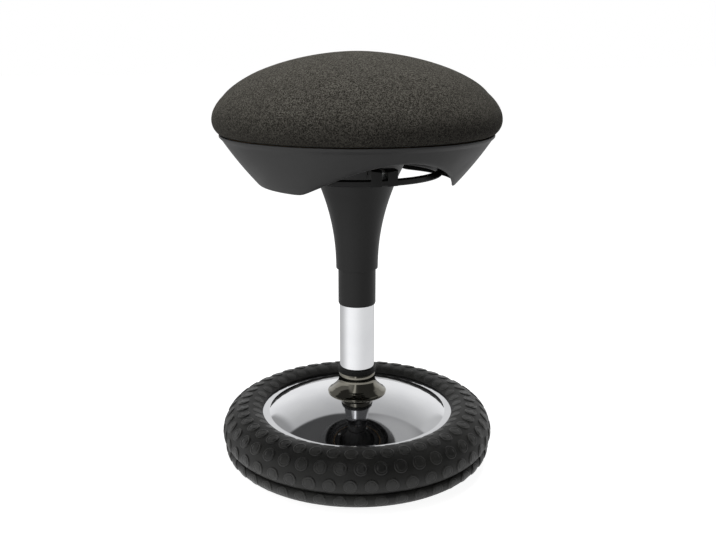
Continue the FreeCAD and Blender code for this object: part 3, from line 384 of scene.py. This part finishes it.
FINISHES = {
    "tyre_rubber": tyre_rubber("moulded_tyre_rubber", "#1e1e1d", "#282826", (0.42, 0.56), 0.4),
    "black_nylon": moulded("moulded_black_nylon", "#1f1f1f", "#272727", (0.45, 0.55), 0.6, 0.03),
    "black_steel": moulded("powder_coated_steel", "#202020", "#282828", (0.45, 0.55), 0.5, 0.04),
    "zinc_steel": plain_metal("zinc_plated_steel", "#a9abaa", "#bfc0be", (0.28, 0.4), 9.0),
    "chrome": bright_chrome(),
    "dark_chrome": dark_chrome(),
    "seal_rubber": moulded("moulded_seal_rubber", "#121212", "#191919", (0.42, 0.55), 0.7, 0.02),
    "white_acetal": moulded("turned_white_acetal", "#d8d8d2", "#e4e4de", (0.35, 0.45), 0.8, 0.01),
    "bearing_steel": plain_metal("ground_bearing_steel", "#c4c6c8", "#d2d4d6", (0.14, 0.22), 6.0),
    "ground_steel": plain_metal("ground_rod_steel", "#cccdcf", "#dadbdc", (0.12, 0.2), 12.0),
    "aluminium": plain_metal("turned_aluminium", "#d0d1d2", "#dedfe0", (0.25, 0.35), 7.0),
    "brass": plain_metal("turned_brass", "#b8914e", "#c9a35f", (0.22, 0.32), 7.0),
    "black_paint": moulded("black_lacquered_steel", "#1a1a1a", "#222222", (0.32, 0.42), 0.8, 0.01),
    "ring_nylon": moulded("glass_filled_black_nylon", "#101010", "#161616", (0.34, 0.46), 0.6, 0.03),
    "black_plastic": moulded("satin_moulded_polypropylene", "#2a2a2a", "#303030", (0.36, 0.46), 0.8, 0.02),
    "plywood": plywood(),
    "foam": moulded("cut_polyurethane_foam", "#cfc7a9", "#ded7bb", (0.85, 0.95), 1.2, 0.2),
    "melange_fabric": melange_cloth(),
    "shell_plastic": moulded("spark_eroded_polypropylene", "#484848", "#505050", (0.4, 0.5), 0.9, 0.04),
}
SLOTS = {row["node"]: row["material_slot"] for row in frame["record"]["subparts"]}

for node, made in frame["nodes"].items():
    made.data.materials.clear()
    made.data.materials.append(FINISHES[SLOTS[node]])


# Rocking base

TYRE_LINE = np.vstack([
    arc(TYRE_LIP, (139.7, 75.6), (141.0, 77.3), 6),
    through([(141.0, 77.3), (144.0, 79.6), (150.5, 82.6), TYRE_CROWN, (171.5, 81.6), TYRE_SHOULDER,
             (190.3, 69.3), TYRE_FLANK, TYRE_WIDEST, TYRE_LOW, (193.2, 37.6), GROOVE], 110)[1:],
])


def on_tyre(along, line):
    """Radius, height and outward normal (out, up) of an outer line at lengths along it."""
    way = np.r_[0, np.cumsum(np.linalg.norm(np.diff(line, axis=0), axis=1))]
    r = np.interp(along, way, line[:, 0])
    z = np.interp(along, way, line[:, 1])
    step = 0.4
    run = np.interp(along + step, way, line[:, 0]) - np.interp(along - step, way, line[:, 0])
    rise = np.interp(along + step, way, line[:, 1]) - np.interp(along - step, way, line[:, 1])
    size = np.hypot(run, rise)
    return r, z, -rise / size, run / size


def stud_caps(name, line, rows):
    """Raised round studs that follow a surface swept from a line.

    A point at (q, a) from a stud's middle lies q cos a further along the line
    and q sin a round the stool, raised by the stud's height at q: full out to
    0.8 of its radius but for a thin ring cut in it at 0.66, then down to
    below the rubber at its edge. The last row closes the cap underneath.
    """
    q = np.array([0, 0.3, 0.58, 0.63, 0.68, 0.74, 0.84, 0.93, 0.985, 1.0, 0.0])
    lift = np.array([0.9, 0.93, 1.0, 0.72, 0.72, 1.0, 0.99, 0.85, 0.4, -0.5, -0.5])
    around = 28
    a = np.linspace(0, 2 * math.pi, around, endpoint=False)
    all_points, all_faces, count = [], [], 0
    cell = np.arange(len(q) * around).reshape(len(q), around)
    wrapped = np.hstack([cell, cell[:, :1]])
    faces = np.stack([wrapped[:-1, :-1], wrapped[:-1, 1:], wrapped[1:, 1:], wrapped[1:, :-1]], -1)
    for along, shift, radius, height in rows:
        middle = (np.arange(STUDS) + shift) * 2 * math.pi / STUDS
        s = along - radius * q[:, None] * np.cos(a)
        r, z, out, up = on_tyre(s, line)
        centre_r = on_tyre(np.array([along]), line)[0][0]
        turn = middle[:, None, None] + radius * q[:, None] * np.sin(a) / centre_r
        high = height * lift[:, None]
        r = r + high * out
        z = z + high * up
        points = np.stack([r * np.sin(turn), -r * np.cos(turn), np.broadcast_to(z, turn.shape)], -1)
        all_points.append(points.reshape(-1, 3))
        start = count + np.arange(STUDS)[:, None, None] * cell.size
        all_faces.append((faces.reshape(1, -1, 4) + start).reshape(-1, 4))
        count += STUDS * cell.size
    return mesh_of(name, np.vstack(all_points), np.vstack(all_faces))


tyre_back = np.vstack([[(184.0, 34.6), (184.0, 52.0)],
                       arc((184.0, 52.0), (176.6, 70.1), (160.0, 77.0), 10)[1:], [(146.0, 74.3)]])
piece("tyre_carcass", swept_round("tyre_carcass", np.vstack([TYRE_LINE, tyre_back]), 240),
      FINISHES["tyre_rubber"], "base", "tyre")
# The studs' rubber is lighter than the tyre's: a painted highlight standing for the light on their tops.
# Their lower roughness is their own gloss.
stud_rubber = tyre_rubber("stud_rubber_painted_highlight", "#222221", "#30302e", (0.3, 0.45), 0.5)
piece("tyre_studs", stud_caps("tyre_studs", TYRE_LINE, STUD_ROWS), stud_rubber, "base")

SOLE_LINE = np.vstack([arc((189.5, 34.5), (193.0, 31.9), (194.0, 27.0), 8),
                       arc((194.0, 27.0), (190.0, 18.3), (176.0, 11.3), 22)[1:]])
piece("sole_studs", stud_caps("sole_studs", SOLE_LINE, (SOLE_ROW,)), stud_rubber, "base")


# Chrome dome, bell, seal and column

def dome_level(r):
    """Height of the dome's cap at radius r: a sphere that rises DOME_RISE over its rim."""
    sphere = (DOME_RIM ** 2 + DOME_RISE ** 2) / (2 * DOME_RISE)
    return DOME_FOOT + DOME_RISE - sphere + np.sqrt(sphere ** 2 - r ** 2)


cap = np.linspace(25.3, DOME_RIM - 0.8, 60)
upper = np.stack([cap, dome_level(cap)], 1)
foot = arc((DOME_RIM - 0.8, upper[-1, 1]), (DOME_RIM - 0.1, DOME_FOOT + 0.09),
           (DOME_RIM + 0.7, DOME_FOOT), 5)[1:]
flange = [(DOME_FLANGE, DOME_FOOT), (DOME_FLANGE, DOME_FOOT - SHEET), (DOME_RIM, DOME_FOOT - SHEET)]
dome_line = np.vstack([upper, foot, flange, upper[::-1] - [0, SHEET]])
piece("chrome_dome", swept_round("chrome_dome", dome_line, 256), FINISHES["chrome"], "base", "dome_cover")

rim = float(dome_level(41.6)) + 0.05
bell_flank = through([(NECK, 123.0), (27.2, 119.2), (29.4, 115.0), (33.2, 110.4), (37.6, 106.4),
                      (41.4, 103.5), (BELL_RIM, rim + 0.9), (BELL_RIM - 0.6, rim)], 44)
bell_neck = [(25.3, BELL_TOP), (26.2, BELL_TOP), (NECK, BELL_TOP - 0.4), (NECK, 127.0)]
bell_inside = through([(40.5, rim), (37.6, 106.0), (29.8, 113.6), (26.0, 120.0), (25.3, 124.0)], 16)
bell_line = np.vstack([bell_neck, bell_flank, bell_inside])
piece("bell_collar", swept_round("bell_collar", bell_line, 160), FINISHES["dark_chrome"], "base",
      "collar_cover")

seal_line = eased([(COLUMN, BELL_TOP), (27.4, BELL_TOP), (27.4, SEAL_TOP), (COLUMN, SEAL_TOP)], 1.2)
piece("column_seal", swept_round("column_seal", seal_line, 128), FINISHES["seal_rubber"], "base",
      "collar_seal")

tube_line = eased([(23.5, 20.0), (COLUMN, 79.0), (COLUMN, COLUMN_TOP), (23.2, COLUMN_TOP), (23.2, 79.0),
                   (22.0, 31.0), (4.3, 31.0), (4.3, 28.0), (21.9, 28.0), (21.7, 20.0)], 0.5)
piece("chrome_column", swept_round("chrome_column", tube_line, 160), FINISHES["chrome"], "base",
      "column_tube")


# Telescoping covers

def funnel_side(count, inset):
    """Flare of the upper cover: r = low + (high - low) t^2.1, t from its foot to its top."""
    t = np.linspace(0, 1, count)
    r = FUNNEL_LOW + (FUNNEL_HIGH - FUNNEL_LOW) * t ** 2.1
    return np.stack([r - inset * (1 + 0.25 * t), FUNNEL_FOOT + (FUNNEL_TOP - FUNNEL_FOOT) * t], 1)


outer_side = funnel_side(48, 0.0)
inner_side = funnel_side(32, 2.0)[::-1]
funnel_top = [(FUNNEL_HIGH - 0.3, FUNNEL_TOP - 0.3), (FUNNEL_HIGH - 0.8, FUNNEL_TOP), (21.0, FUNNEL_TOP),
              (21.0, FUNNEL_TOP - 3)]
funnel_line = np.vstack([[(27.1, 290.3), (27.4, 290.0), (29.2, 290.0), (29.65, 290.2)], outer_side[1:-1],
                         funnel_top, inner_side[1:-3], [(27.8, 293.0), (27.1, 293.0)]])
piece("flared_cover", swept_round("flared_cover", funnel_line, 160), FINISHES["black_plastic"], "seat",
      "funnel_cover")

sleeve_foot = arc((25.9, SLEEVE_FOOT), (26.5, SLEEVE_FOOT + 1.2), (SLEEVE, SLEEVE_FOOT + 4), 6)
sleeve_line = np.vstack([[(25.5, SLEEVE_FOOT + 0.4), (25.8, SLEEVE_FOOT)], sleeve_foot,
                         [(SLEEVE, 289.0), (SLEEVE, 293.3), (27.5, 293.3), (27.5, 295.8), (25.5, 296.3)]])
piece("sliding_sleeve", swept_round("sliding_sleeve", sleeve_line, 128), FINISHES["black_plastic"],
      "sleeve", "telescopic_sleeve")


# Seat shell

def skirt(z):
    """Radius of the skirt's outer face at height z: a cone bowed out by 7 t (1 - t)."""
    t = (z - 416.5) / 58.4
    return 138.9 + 45.1 * t + 7.0 * t * (1 - t)


def lower_edge(turn):
    """Height of the skirt's lower edge at an angle: its foot, or the hand opening's arch above it.

    The arch is where (z - centre)^2 + (skirt(z) sin a)^2 = ARCH^2, found by
    halving, and the two are joined by a soft maximum over ARCH_JOIN.
    """
    low = np.full(turn.shape, 360.0)
    high = np.full(turn.shape, 475.0)
    for _ in range(40):
        middle = (low + high) / 2
        outside = (middle - ARCH_CENTRE) ** 2 + (skirt(middle) * np.sin(turn)) ** 2 > ARCH ** 2
        high = np.where(outside, middle, high)
        low = np.where(outside, low, middle)
    return SHELL_FOOT + ARCH_JOIN * np.log1p(np.exp((low - SHELL_FOOT) / ARCH_JOIN))


def shell_mesh(columns=480, rows=16, lip_rows=7):
    """Skirt with a rolled lower edge, a rim step under the cushion and the flat web inside.

    Each column is one closed line: rim, outer face down to the edge, a
    parabola round the lip, inner face up to the web, web in and back out.
    """
    turn = np.linspace(0, 2 * math.pi, columns, endpoint=False)
    edge = lower_edge(turn)
    arched = np.clip((edge - SHELL_FOOT) / 12.0, 0, 1)
    lip = 2.4 + 1.6 * arched
    wall = SHELL_WALL + 2.0 * arched
    same = np.ones(columns)
    rim_step = ((SEAM - 0.6, SEAM_LEVEL), (SEAM, SEAM_LEVEL - 0.5), (SEAM, SEAM_LEVEL - 2.5),
                (SEAM - 0.3, SEAM_LEVEL - 3), (SEAM - 3.7, SEAM_LEVEL - 6.5))
    lines = [(r * same, z * same) for r, z in rim_step]
    share = np.linspace(0, 1, rows)
    for t in share:
        z = 474.5 + (edge + lip - 474.5) * t
        lines.append((skirt(z), z))
    start = np.array([skirt(edge + lip), edge + lip])
    end = np.array([skirt(edge + 1.2) - wall, edge + 1.2])
    corner = np.array([skirt(edge) - 0.35 * wall, edge - 0.6 * lip])
    for t in np.linspace(0, 1, lip_rows + 2)[1:-1]:
        lines.append(tuple((1 - t) ** 2 * start + 2 * t * (1 - t) * corner + t ** 2 * end))
    for t in share:
        z = (edge + 1.2) + (WEB_UNDER - edge - 1.2) * t
        thick = wall + (SHELL_WALL - wall) * min(1.0, t * 2)
        lines.append((skirt(z) - thick, z))
    web = ((WEB_INNER + 0.5, WEB_UNDER), (WEB_INNER, WEB_UNDER + 0.5), (WEB_INNER, WEB_TOP - 0.5),
           (WEB_INNER + 0.5, WEB_TOP), (175.0, WEB_TOP), (185.0, 481.5))
    lines += [(r * same, z * same) for r, z in web]
    r = np.array([line[0] for line in lines])
    z = np.array([line[1] for line in lines])
    placed = turn + SHELL_TURN
    return mesh_from("seat_shell_skirt", np.stack([r * np.sin(placed), -r * np.cos(placed), z], -1))


def rib_mesh():
    """Three-cornered ribs between web and skirt, each two outlines (r, z) a rib's width apart."""
    turn = (np.arange(RIBS) + 0.5) * 2 * math.pi / RIBS
    foot = np.maximum(WEB_UNDER - RIB_DEPTH, lower_edge(turn) + 4)
    same = np.ones(RIBS)
    r = np.stack([(WEB_INNER + 12) * same, (skirt(WEB_UNDER) - SHELL_WALL + 1) * same,
                  skirt(foot) - SHELL_WALL + 1, skirt(foot) - SHELL_WALL - 2])
    z = np.stack([(WEB_UNDER + 0.5) * same, (WEB_UNDER + 0.5) * same, foot, foot])
    placed = turn + SHELL_TURN
    points = []
    for side in (-RIB_WIDTH / 2, RIB_WIDTH / 2):
        points.append(np.stack([r * np.sin(placed) + side * np.cos(placed),
                                -r * np.cos(placed) + side * np.sin(placed), z], -1))
    corners = np.concatenate(points).transpose(1, 0, 2).reshape(-1, 3)
    box = np.array([(0, 1, 2, 3), (7, 6, 5, 4), (0, 4, 5, 1), (1, 5, 6, 2), (2, 6, 7, 3), (3, 7, 4, 0)])
    faces = box[None] + 8 * np.arange(RIBS)[:, None, None]
    return mesh_of("seat_shell_ribs", corners, faces.reshape(-1, 4))


piece("seat_shell_skirt", shell_mesh(), FINISHES["shell_plastic"], "seat", "seat_shell")
piece("seat_shell_ribs", rib_mesh(), FINISHES["shell_plastic"], "seat")


# Cushion

PULL = 0.985            # how much narrower the cover is before the foam swells it
SWELL = 8.0             # furthest that a point of it may move
LOOSE = 1.5             # how far it may end from the real side line


def cushion_line(count=60):
    """Closed side of the cushion from its top to the seam, and back under it to the axis.

    The crown is |r / SEAT|^p + |h / SEAT_RISE|^p = 1, and below the widest
    level an arc draws in to the seam.
    """
    t = np.linspace(math.pi / 2, 0, count)
    crown = np.stack([SEAT * np.cos(t) ** (2 / CROWN_POWER),
                      SEAT_LEVEL + SEAT_RISE * np.sin(t) ** (2 / CROWN_POWER)], 1)
    crown[0, 0] = 0.0
    side = arc(crown[-1], (196.3, 491.0), (188.4, 482.3), 16)[1:]
    under = [(186.5, PAN_TOP - 0.4)] + [(r, PAN_TOP) for r in (184.0, 170.0, 120.0, 60.0, 0.0)]
    return np.vstack([crown, side, under])


def points_of(mesh):
    """Points of a mesh in mm."""
    co = np.zeros(len(mesh.vertices) * 3)
    mesh.vertices.foreach_get("co", co)
    return co.reshape(-1, 3) / MM


def put_points(mesh, points):
    """Gives a mesh new points in mm."""
    mesh.vertices.foreach_set("co", (points * MM).astype(np.float32).ravel())
    mesh.update()


def steepness(points):
    """Angle of points about the middle of the cushion's underside: 0 on the axis, pi / 2 level with it."""
    return np.arctan2(np.hypot(points[..., 0], points[..., 1]), points[..., 2] - PAN_TOP)


def remeshed(maker):
    """Even 5 mm cells over the object's mesh."""
    cells = maker.modifiers.new("cells", "REMESH")
    cells.mode = "VOXEL"
    cells.voxel_size = 0.005
    graph = bpy.context.evaluated_depsgraph_get()
    even = bpy.data.meshes.new_from_object(maker.evaluated_get(graph))
    maker.modifiers.clear()
    return even


def inflated(maker):
    """Points of the object's mesh after air swells its cloth for 20 frames, with its underside held."""
    start = points_of(maker.data)
    held = maker.vertex_groups.new(name="held")
    held.add(np.nonzero(start[:, 2] < PAN_TOP + 3.5)[0].tolist(), 1.0, "ADD")
    cloth = maker.modifiers.new("cloth", "CLOTH")
    cloth.settings.use_pressure = True
    cloth.settings.uniform_pressure_force = 4.0
    cloth.settings.tension_stiffness = 25.0
    cloth.settings.vertex_group_mass = "held"
    cloth.settings.effector_weights.gravity = 0.0
    cloth.point_cache.frame_start = 1
    cloth.point_cache.frame_end = 20
    for number in range(1, 21):
        bpy.context.scene.frame_set(number)
    graph = bpy.context.evaluated_depsgraph_get()
    swollen = points_of(bpy.data.meshes.new_from_object(maker.evaluated_get(graph)))
    bpy.context.scene.frame_set(1)
    maker.modifiers.clear()
    moved = swollen - start
    size = np.linalg.norm(moved, axis=1, keepdims=True)
    return start + moved * np.minimum(1, SWELL / np.maximum(size, 1e-6))


def drawn_to(points, line):
    """Points brought to within LOOSE of the surface swept from a line, with fine puckers at the seam.

    Seen from the middle of the underside, a point's distance becomes that of
    the line at the same steepness, plus what is left of its own difference,
    plus 0.35 mm sin(70 a) sin(23 a + 1) that dies away over 8 mm from the seam.
    """
    steep = steepness(points)
    far = np.linalg.norm(points - [0, 0, PAN_TOP], axis=1)
    upper = line[line[:, 1] > PAN_TOP + 0.1]
    own = np.arctan2(upper[:, 0], upper[:, 1] - PAN_TOP)
    wanted = np.interp(steep, own, np.hypot(upper[:, 0], upper[:, 1] - PAN_TOP))
    turn = np.arctan2(points[:, 0], -points[:, 1])
    near = np.exp(-np.maximum(points[:, 2] - SEAM_LEVEL, 0) / 8.0)
    pucker = 0.35 * np.sin(70 * turn) * np.sin(23 * turn + 1) * near
    free = points[:, 2] > PAN_TOP + 1.0
    reach = np.where(free, wanted + np.clip(far - wanted, -LOOSE, LOOSE) + pucker, far)
    return [0, 0, PAN_TOP] + (points - [0, 0, PAN_TOP]) * (reach / np.maximum(far, 1e-6))[:, None]


def cushion_mesh(line):
    """Foam cushion with its cover pulled tight: swollen as cloth and drawn to the real side line."""
    smaller = line * [PULL, 1.0] - [0, 0.6]
    maker = bpy.data.objects.new("cushion_maker", swept_round("cushion_maker", smaller, 256))
    bpy.context.scene.collection.objects.link(maker)
    maker.data = remeshed(maker)
    put_points(maker.data, drawn_to(inflated(maker), line))
    made = maker.data
    bpy.data.objects.remove(maker)
    made.shade_smooth()
    made.name = "seat_cushion"
    return made


def lay_cloth(mesh, line):
    """UV map of the cloth in metres: a point's way over the crown is its distance from the middle."""
    upper = line[line[:, 1] > PAN_TOP + 0.1]
    way = np.r_[0, np.cumsum(np.linalg.norm(np.diff(upper, axis=0), axis=1))]
    points = points_of(mesh)
    along = np.interp(steepness(points), np.arctan2(upper[:, 0], upper[:, 1] - PAN_TOP), way)
    out = np.maximum(np.hypot(points[:, 0], points[:, 1]), 1e-3)
    spread = points[:, :2] * (along / out)[:, None] * MM
    corner = np.zeros(len(mesh.loops), int)
    mesh.loops.foreach_get("vertex_index", corner)
    layer = mesh.uv_layers.new(name="cloth")
    layer.data.foreach_set("uv", spread[corner].astype(np.float32).ravel())


CUSHION_LINE = cushion_line()
cushion = piece("seat_cushion", cushion_mesh(CUSHION_LINE), FINISHES["melange_fabric"], "seat",
                "cushion_foam", "cushion_cover")
lay_cloth(cushion.data, CUSHION_LINE)
smooth = cushion.modifiers.new("smooth", "SUBSURF")
smooth.levels = 1
smooth.render_levels = 1


# Stage, lamps and camera, in metres

VIEW_TURN = math.radians(17.5)      # the camera stands this far to the left of the front
VIEW_PITCH = math.radians(14.9)     # and looks down by this
VIEW_AWAY = 1.211
VIEW_HEIGHT = 0.608
PHOTO_WIDTH = 716       # pixels
PHOTO_FOCUS = 876       # pixels
PHOTO_SHIFT = 1         # pixels
FLOOR_REACH = 14.0
BRIGHT_PATCH = (0.374, 0.331, 0.866)    # the way to the ceiling's bright patch
LAMP_AIM = np.array((0, 0, 0.35))


def to_right(tree, where):
    """How far a place or direction lies to the camera's right."""
    return add(tree, "ShaderNodeVectorMath", {0: where, 1: (math.cos(VIEW_TURN), -math.sin(VIEW_TURN), 0)},
               operation="DOT_PRODUCT").outputs["Value"]


def to_back(tree, where):
    """How far a place or direction lies away from the camera."""
    return add(tree, "ShaderNodeVectorMath", {0: where, 1: (math.sin(VIEW_TURN), math.cos(VIEW_TURN), 0)},
               operation="DOT_PRODUCT").outputs["Value"]


def eased_range(tree, value, start, end, low, high):
    """Smooth step of a value, low up to start and high from end on."""
    step = add(tree, "ShaderNodeMapRange", {"Value": value, "From Min": start, "From Max": end,
                                            "To Min": low, "To Max": high}, interpolation_type="SMOOTHSTEP")
    return step.outputs["Result"]


def mixed(tree, share, low, high):
    """Number between two by a share from 0 to 1."""
    return add(tree, "ShaderNodeMix", {0: share, 2: low, 3: high}, data_type="FLOAT").outputs[0]


def stage_floor():
    """Wide pale floor, near white to the camera, which keeps the stool's shadow.

    In mirrors it is brightest to the front left, darker far to the left
    behind the stool, and grey to the right.
    """
    mesh = bpy.data.meshes.new("floor")
    corners = [(x * FLOOR_REACH, y * FLOOR_REACH, 0) for x, y in ((-1, -1), (1, -1), (1, 1), (-1, 1))]
    mesh.from_pydata(corners, [], [(0, 1, 2, 3)])
    floor = bpy.data.objects.new("floor", mesh)
    bpy.context.scene.collection.objects.link(floor)
    finish, tree, where = new_finish("pale_studio_floor")
    ray = add(tree, "ShaderNodeLightPath")
    seen = add(tree, "ShaderNodeMath", {0: ray.outputs["Is Camera Ray"],
                                        1: ray.outputs["Is Transmission Ray"]},
               operation="MAXIMUM").outputs[0]
    way = add(tree, "ShaderNodeVectorMath", {0: where}, operation="NORMALIZE").outputs["Vector"]
    aside = to_right(tree, way)
    far_left = add(tree, "ShaderNodeMath", {0: aside, 1: -0.7, 2: to_back(tree, way)},
                   operation="MULTIPLY_ADD")
    shade = add(tree, "ShaderNodeMath", {0: eased_range(tree, far_left.outputs[0], -0.1, 1.25, 1.0, 0.5),
                                         1: eased_range(tree, aside, -0.8, 1.0, 1.05, 0.73)},
                operation="MULTIPLY")
    plain = add(tree, "ShaderNodeBsdfDiffuse", {"Color": (0.3, 0.3, 0.3, 1)})
    dim = add(tree, "ShaderNodeBsdfDiffuse", {"Color": (0.5, 0.5, 0.5, 1)})
    glow = add(tree, "ShaderNodeEmission", {"Color": (1, 1, 1, 1), "Strength": 0.92})
    shown = add(tree, "ShaderNodeAddShader", {0: dim.outputs[0], 1: glow.outputs[0]})
    mirrored = add(tree, "ShaderNodeEmission", {"Color": (1, 1, 1, 1), "Strength": shade.outputs[0]})
    mix = add(tree, "ShaderNodeMixShader", {0: seen, 1: plain.outputs[0], 2: shown.outputs[0]})
    mix = add(tree, "ShaderNodeMixShader", {0: ray.outputs["Is Glossy Ray"], 1: mix.outputs[0],
                                            2: mirrored.outputs[0]})
    add(tree, "ShaderNodeOutputMaterial", {"Surface": mix.outputs[0]})
    mesh.materials.append(finish)


def studio_air():
    """World: white to the camera, soft light from above and the left, and for mirrors a studio room.

    Mirrors see a sweep that darkens upwards to a dark ceiling with one bright
    patch to the back right, and a greyer wing at either side. Behind the
    camera the room is grey to the left and dark to the right, with one tall
    strip light.
    """
    world = bpy.data.worlds.new("studio")
    bpy.context.scene.world = world
    world.use_nodes = True
    tree = world.node_tree
    tree.nodes.clear()
    ray = add(tree, "ShaderNodeLightPath")
    way = add(tree, "ShaderNodeTexCoord").outputs["Generated"]
    up = add(tree, "ShaderNodeSeparateXYZ", {0: way}).outputs["Z"]
    right = to_right(tree, way)
    back = to_back(tree, way)
    side = add(tree, "ShaderNodeMath", {0: right}, operation="ABSOLUTE").outputs[0]
    edge = add(tree, "ShaderNodeMath", {0: side, 1: 0.16, 2: up}, operation="MULTIPLY_ADD").outputs[0]
    patch = add(tree, "ShaderNodeVectorMath", {0: way, 1: BRIGHT_PATCH},
                operation="DOT_PRODUCT").outputs["Value"]
    ceiling = eased_range(tree, patch, 0.93, 0.995, 0.06, 0.36)
    sweep = eased_range(tree, up, 0.15, 0.78, 0.88, 0.42)
    wing = add(tree, "ShaderNodeMath", {0: eased_range(tree, side, 0.42, 0.47, 0, 1),
                                        1: eased_range(tree, up, 0.34, 0.4, 0, 1)}, operation="MULTIPLY")
    shade = eased_range(tree, right, -0.3, 0.3, 0.3, 0.52)
    sweep = mixed(tree, wing.outputs[0], sweep, shade)
    front = mixed(tree, eased_range(tree, edge, 0.775, 0.8, 0, 1), sweep, ceiling)
    strip = add(tree, "ShaderNodeMath", {0: eased_range(tree, right, -0.3, -0.2, 0, 1),
                                         1: eased_range(tree, right, -0.14, -0.04, 1, 0)},
                operation="MULTIPLY")
    behind = mixed(tree, strip.outputs[0], eased_range(tree, right, -0.8, 0.2, 0.55, 0.07), 1.0)
    turned = add(tree, "ShaderNodeMath", {0: right, 1: -0.6, 2: back}, operation="MULTIPLY_ADD").outputs[0]
    mirror = mixed(tree, eased_range(tree, turned, -0.3, 0.05, 0, 1), behind, front)
    even = add(tree, "ShaderNodeMath", {0: eased_range(tree, up, -0.1, 0.9, 0.07, 0.34),
                                        1: eased_range(tree, right, -0.6, 0.8, 1.2, 0.25)},
               operation="MULTIPLY")
    value = mixed(tree, ray.outputs["Is Glossy Ray"], even.outputs[0], mirror)
    value = mixed(tree, ray.outputs["Is Camera Ray"], value, 1.0)
    light = add(tree, "ShaderNodeBackground", {"Color": (1, 1, 1, 1), "Strength": value})
    add(tree, "ShaderNodeOutputWorld", {"Surface": light.outputs[0]})


def softbox(name, place, width, height, watts):
    """Rectangular lamp at a place, turned to the stool and left out of mirrors."""
    lamp = bpy.data.lights.new(name, "AREA")
    lamp.shape = "RECTANGLE"
    lamp.size = width
    lamp.size_y = height
    lamp.energy = watts
    made = bpy.data.objects.new(name, lamp)
    made.location = place
    made.visible_glossy = False
    back = np.array(place) - LAMP_AIM
    back /= np.linalg.norm(back)
    side = np.cross((0, 0, 1), back)
    side /= np.linalg.norm(side)
    up = np.cross(back, side)
    made.rotation_euler = [
        math.atan2(up[2], back[2]),
        -math.asin(side[2]),
        math.atan2(side[1], side[0]),
    ]
    bpy.context.scene.collection.objects.link(made)


def camera():
    """The photograph's view, from the front left and above."""
    lens = bpy.data.cameras.new("camera")
    lens.sensor_width = 36
    lens.lens = PHOTO_FOCUS / PHOTO_WIDTH * lens.sensor_width
    lens.shift_x = PHOTO_SHIFT / PHOTO_WIDTH
    made = bpy.data.objects.new("camera", lens)
    made.location = (-VIEW_AWAY * math.sin(VIEW_TURN), -VIEW_AWAY * math.cos(VIEW_TURN), VIEW_HEIGHT)
    made.rotation_euler = (math.pi / 2 - VIEW_PITCH, 0, -VIEW_TURN)
    bpy.context.scene.collection.objects.link(made)
    bpy.context.scene.camera = made


stage_floor()
studio_air()
softbox("key", (-1.15, -1.1, 1.5), 0.5, 1.4, 8)
softbox("top", (0.25, 0.15, 2.2), 1.1, 1.1, 25)
softbox("side", (-1.7, -0.2, 0.9), 0.6, 1.2, 1.5)
camera()
bpy.context.scene.view_settings.view_transform = "Standard"
